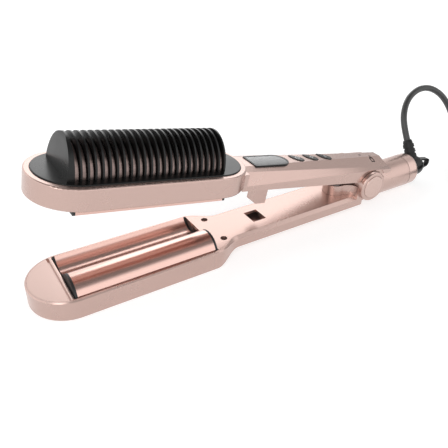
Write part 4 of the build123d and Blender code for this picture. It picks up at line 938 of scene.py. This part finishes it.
# ------------------------------------------------------------------ opening spring
@dataclass
class OpeningSpring:
    """Compression spring in the tower, with its end turns wound close and flat.

    Sizes are in millimetres, and the wire's is its radius. The closed share is what stays of its length
    with the arms closed.
    """

    axis_x: float = -19.5
    foot: float = 3.6
    length: float = 16.1
    radius: float = 4.8
    wire: float = 0.6
    turns: float = 7.0
    end_pitch: float = 2.05         # climb of the first and the last turn, in radii of the wire
    closed_share: float = 0.77
    steps: int = 280
    sides: int = 12

    def surface(self) -> np.ndarray:
        """The wire's skin: a circle of the wire's radius carried along a coil round an upright axis.

        The coil climbs one wire's width in its first and its last turn, and evenly between them.

        Returns:
            Rows of x, y, z in metres, ring by ring.
        """
        turn = np.linspace(0.0, self.turns, self.steps)
        close = self.end_pitch * self.wire
        climb = np.interp(turn, (0.0, 1.0, self.turns - 1.0, self.turns),
                          (0.0, close, self.length - close, self.length))
        angle = 2 * np.pi * turn[:, None]
        round_wire = np.linspace(0.0, 2 * np.pi, self.sides, endpoint=False)[None, :]
        reach = self.radius + self.wire * np.cos(round_wire)
        x = self.axis_x + reach * np.cos(angle)
        y = reach * np.sin(angle)
        z = self.foot + climb[:, None] + self.wire * np.sin(round_wire)
        return np.stack((x, y, z), axis=-1).reshape(-1, 3) * MM + (SHIFT_X, 0.0, 0.0)

    def build(self, palette: Palette) -> None:
        """Build the spring and carry it on the lower arm."""
        points = self.surface()
        faces = grid_faces(self.steps, self.sides, wrap=True).tolist()
        faces += [list(range(self.sides)), list(range(len(points) - self.sides, len(points)))]
        spring = piece_from("coil_spring", points, faces)
        palette.dress(spring, Finish.STEEL)
        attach(spring, "lower_arm")
        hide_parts("opening_spring")
        foot = at(self.axis_x, 0.0, self.foot - self.wire)
        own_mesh(spring)
        log.info("spring: %.1f turns, %.1f mm long at rest", self.turns, self.length)


# ------------------------------------------------------------------ printed marks
@dataclass(frozen=True)
class Stroke:
    """One printed line of even width: an arc, or a straight run where the radius is nought.

    A straight run goes from its start to its end. An arc goes round the start, from the first angle to
    the second, both in degrees.
    """

    start: tuple[float, float]
    end: tuple[float, float] = (0.0, 0.0)
    radius: float = 0.0
    angles: tuple[float, float] = (0.0, 360.0)

    def ribbon(self, width: float, samples: int = 24) -> tuple[np.ndarray, np.ndarray]:
        """The stroke's two edges: its centre line moved half the width to each side, square to it.

        Args:
            width: The line's width in millimetres.
            samples: Number of points along it.

        Returns:
            Rows of x and y for the left edge, and for the right edge.
        """
        share = np.linspace(0.0, 1.0, samples)
        if self.radius:
            angle = np.radians(self.angles[0] + (self.angles[1] - self.angles[0]) * share)
            side = np.column_stack((np.cos(angle), np.sin(angle)))
            line = np.array(self.start) + self.radius * side
        else:
            run = np.array(self.end) - np.array(self.start)
            line = np.array(self.start) + share[:, None] * run
            side = np.tile((-run[1], run[0]) / np.hypot(*run), (samples, 1))
        return line + side * width / 2, line - side * width / 2


@dataclass
class PrintedMarks:
    """Symbols on the three buttons, and the lock's dot and padlock on the handle.

    Sizes are in millimetres and places are measured from the hinge's foot, with the arms closed.
    """

    width: float = 0.62
    thickness: float = 0.09
    sunk: float = 0.04
    button_top: float = 36.9
    button_middles: tuple[float, float, float] = (-61.15, -48.75, -36.35)
    arm: float = 1.5
    bar: tuple[float, float] = (-2.1, 0.1)
    open_ring: tuple[float, float] = (-50.0, 230.0)
    skin_top: float = 36.4
    skin_edge: float = 3.6
    skin_slope: float = 0.458
    dot: tuple[float, float] = (-2.3, -0.4)
    dot_radius: float = 0.496
    dash: tuple[float, float] = (5.6, -1.9)
    dash_end: tuple[float, float] = (5.4, -3.4)
    padlock: tuple[float, float] = (4.9, -6.6)
    padlock_half: tuple[float, float] = (1.4, 1.5)
    shackle_radius: float = 0.98

    def skin(self, places: np.ndarray) -> np.ndarray:
        """Height of the handle: flat to the edge of its top, then falling at the facet's slope.

        Args:
            places: Rows of x and y in millimetres.

        Returns:
            The height of each place in millimetres.
        """
        return self.skin_top - self.skin_slope * np.maximum(0.0, -places[:, 1] - self.skin_edge)

    def slab(self, stroke: Stroke, top: float | None) -> tuple[np.ndarray, np.ndarray]:
        """A stroke as a thin closed slab that lies on a button or on the handle.

        Args:
            stroke: The line to print.
            top: Height of the button's flat top, or None for the handle's skin.

        Returns:
            The corner points, swung open, and the faces.
        """
        left, right = stroke.ribbon(self.width)
        corners = []
        for edge, lift in ((left, 1), (right, 1), (right, 0), (left, 0)):
            height = self.skin(edge) if top is None else np.full(len(edge), top)
            corners.append(np.column_stack((edge, height - self.sunk + lift * self.thickness)))
        points = np.stack(corners, axis=1).reshape(-1, 3) * MM
        points[:, 0] += SHIFT_X
        last = len(points) - 4
        caps = np.array([(0, 3, 2, 1), (last, last + 1, last + 2, last + 3)])
        return opened(points), np.vstack((grid_faces(len(left), 4, wrap=True), caps))

    def stamp(self, name: str, strokes: Sequence[Stroke], top: float | None) -> bpy.types.Object:
        """Print one mark made of several strokes.

        Args:
            name: The mark's name.
            strokes: Its lines.
            top: Height of the button's flat top, or None for the handle's skin.

        Returns:
            The new piece.
        """
        points, faces, count = [], [], 0
        for stroke in strokes:
            more, corners = self.slab(stroke, top)
            points.append(more)
            faces.append(corners + count)
            count += len(more)
        return piece_from(name, np.vstack(points), np.vstack(faces), smooth=False)

    def symbols(self) -> dict[str, list[Stroke]]:
        """The strokes of each button's symbol: a broken ring with a bar, a plus and a minus."""
        arm = self.arm
        power, plus, minus = self.button_middles
        return {
            "power": [Stroke((power, 0.0), radius=arm, angles=self.open_ring),
                      Stroke((power, self.bar[0]), (power, self.bar[1]))],
            "plus": [Stroke((plus - arm, 0.0), (plus + arm, 0.0)), Stroke((plus, -arm), (plus, arm))],
            "minus": [Stroke((minus, -arm), (minus, arm))],
        }

    def lock_strokes(self) -> list[Stroke]:
        """The strokes of the dot, the dash and the padlock with its shackle."""
        x, y = self.padlock
        half_x, half_y = self.padlock_half
        low, high, near, far = x - half_x, x + half_x, y - half_y, y + half_y
        return [
            Stroke(self.dot, radius=self.dot_radius),
            Stroke(self.dash, self.dash_end),
            Stroke((low, near), (low, far)), Stroke((high, near), (high, far)),
            Stroke((low, near), (high, near)), Stroke((low, far), (high, far)),
            Stroke((x, far), radius=self.shackle_radius, angles=(0.0, 180.0)),
        ]

    def build(self, palette: Palette) -> None:
        """Print every mark and let it ride on what carries it."""
        for key, strokes in self.symbols().items():
            mark = self.stamp(f"{key}_symbol", strokes, self.button_top)
            palette.dress(mark, Finish.PALE_PRINT)
            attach(mark, f"{key}_button")
        mark = self.stamp("lock_marks", self.lock_strokes(), None)
        palette.dress(mark, Finish.PRINT)
        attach(mark, "upper_arm")
        log.info("marks: three button symbols and the lock's dot and padlock")


# ------------------------------------------------------------------ CAD nodes
NODE_FINISHES: dict[Finish, tuple[str, ...]] = {
    Finish.LACQUER: ("lower_housing", "handle_panel", "tail_cover", "upper_housing", "upper_cover",
                     "head_base", "latch_post", "lock_slider"),
    # the caps and the ring take the lighter copy of the lacquer, whose lighter colour is painted light
    Finish.LIT_LACQUER: ("tip_cap", "hinge_cap_near", "hinge_cap_far", "lock_ring"),
    Finish.GRAPHITE: ("power_button", "plus_button", "minus_button"),
    Finish.WAVE_METAL: ("lower_wave_plate", "upper_wave_plate"),
    Finish.BLACK: ("comb_plate", "display_bezel", "display_spacer", "tact_switches", "swivel_gland",
                   "swivel_spindle", "hang_loop"),
    Finish.SEAL: ("lower_seal_front", "lower_seal_rear", "upper_seal_front", "upper_seal_rear"),
    Finish.HOT_FIN: ("heated_fins",),
    Finish.STEEL: ("panel_screws", "hinge_pin"),
    Finish.WINDOW: ("display_window",),
    Finish.PANEL: ("display_module",),
    Finish.BOARD: ("control_board",),
    Finish.FILM: ("lower_heater", "upper_heater"),
    Finish.CARRIER: ("lower_insulator",),
    Finish.SLEEVE: ("strain_relief",),
    Finish.PLUG: ("plug_body",),
    Finish.PIN: ("plug_pins",),
}


def dress_nodes(palette: Palette) -> None:
    """Give every carried-over node its finish."""
    for finish, names in NODE_FINISHES.items():
        for name in names:
            palette.dress(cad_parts[name], finish)
        log.info("%s: %s", finish.value.name, ", ".join(names))


def main() -> None:
    """Build the scene piece by piece."""
    logging.basicConfig(level=logging.INFO, format="%(name)s: %(message)s")
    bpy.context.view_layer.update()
    palette = Palette()
    Studio().build(palette)
    Cord().build(palette)
    dress_nodes(palette)
    OpeningSpring().build(palette)
    PrintedMarks().build(palette)


if __name__ == "__main__":
    main()
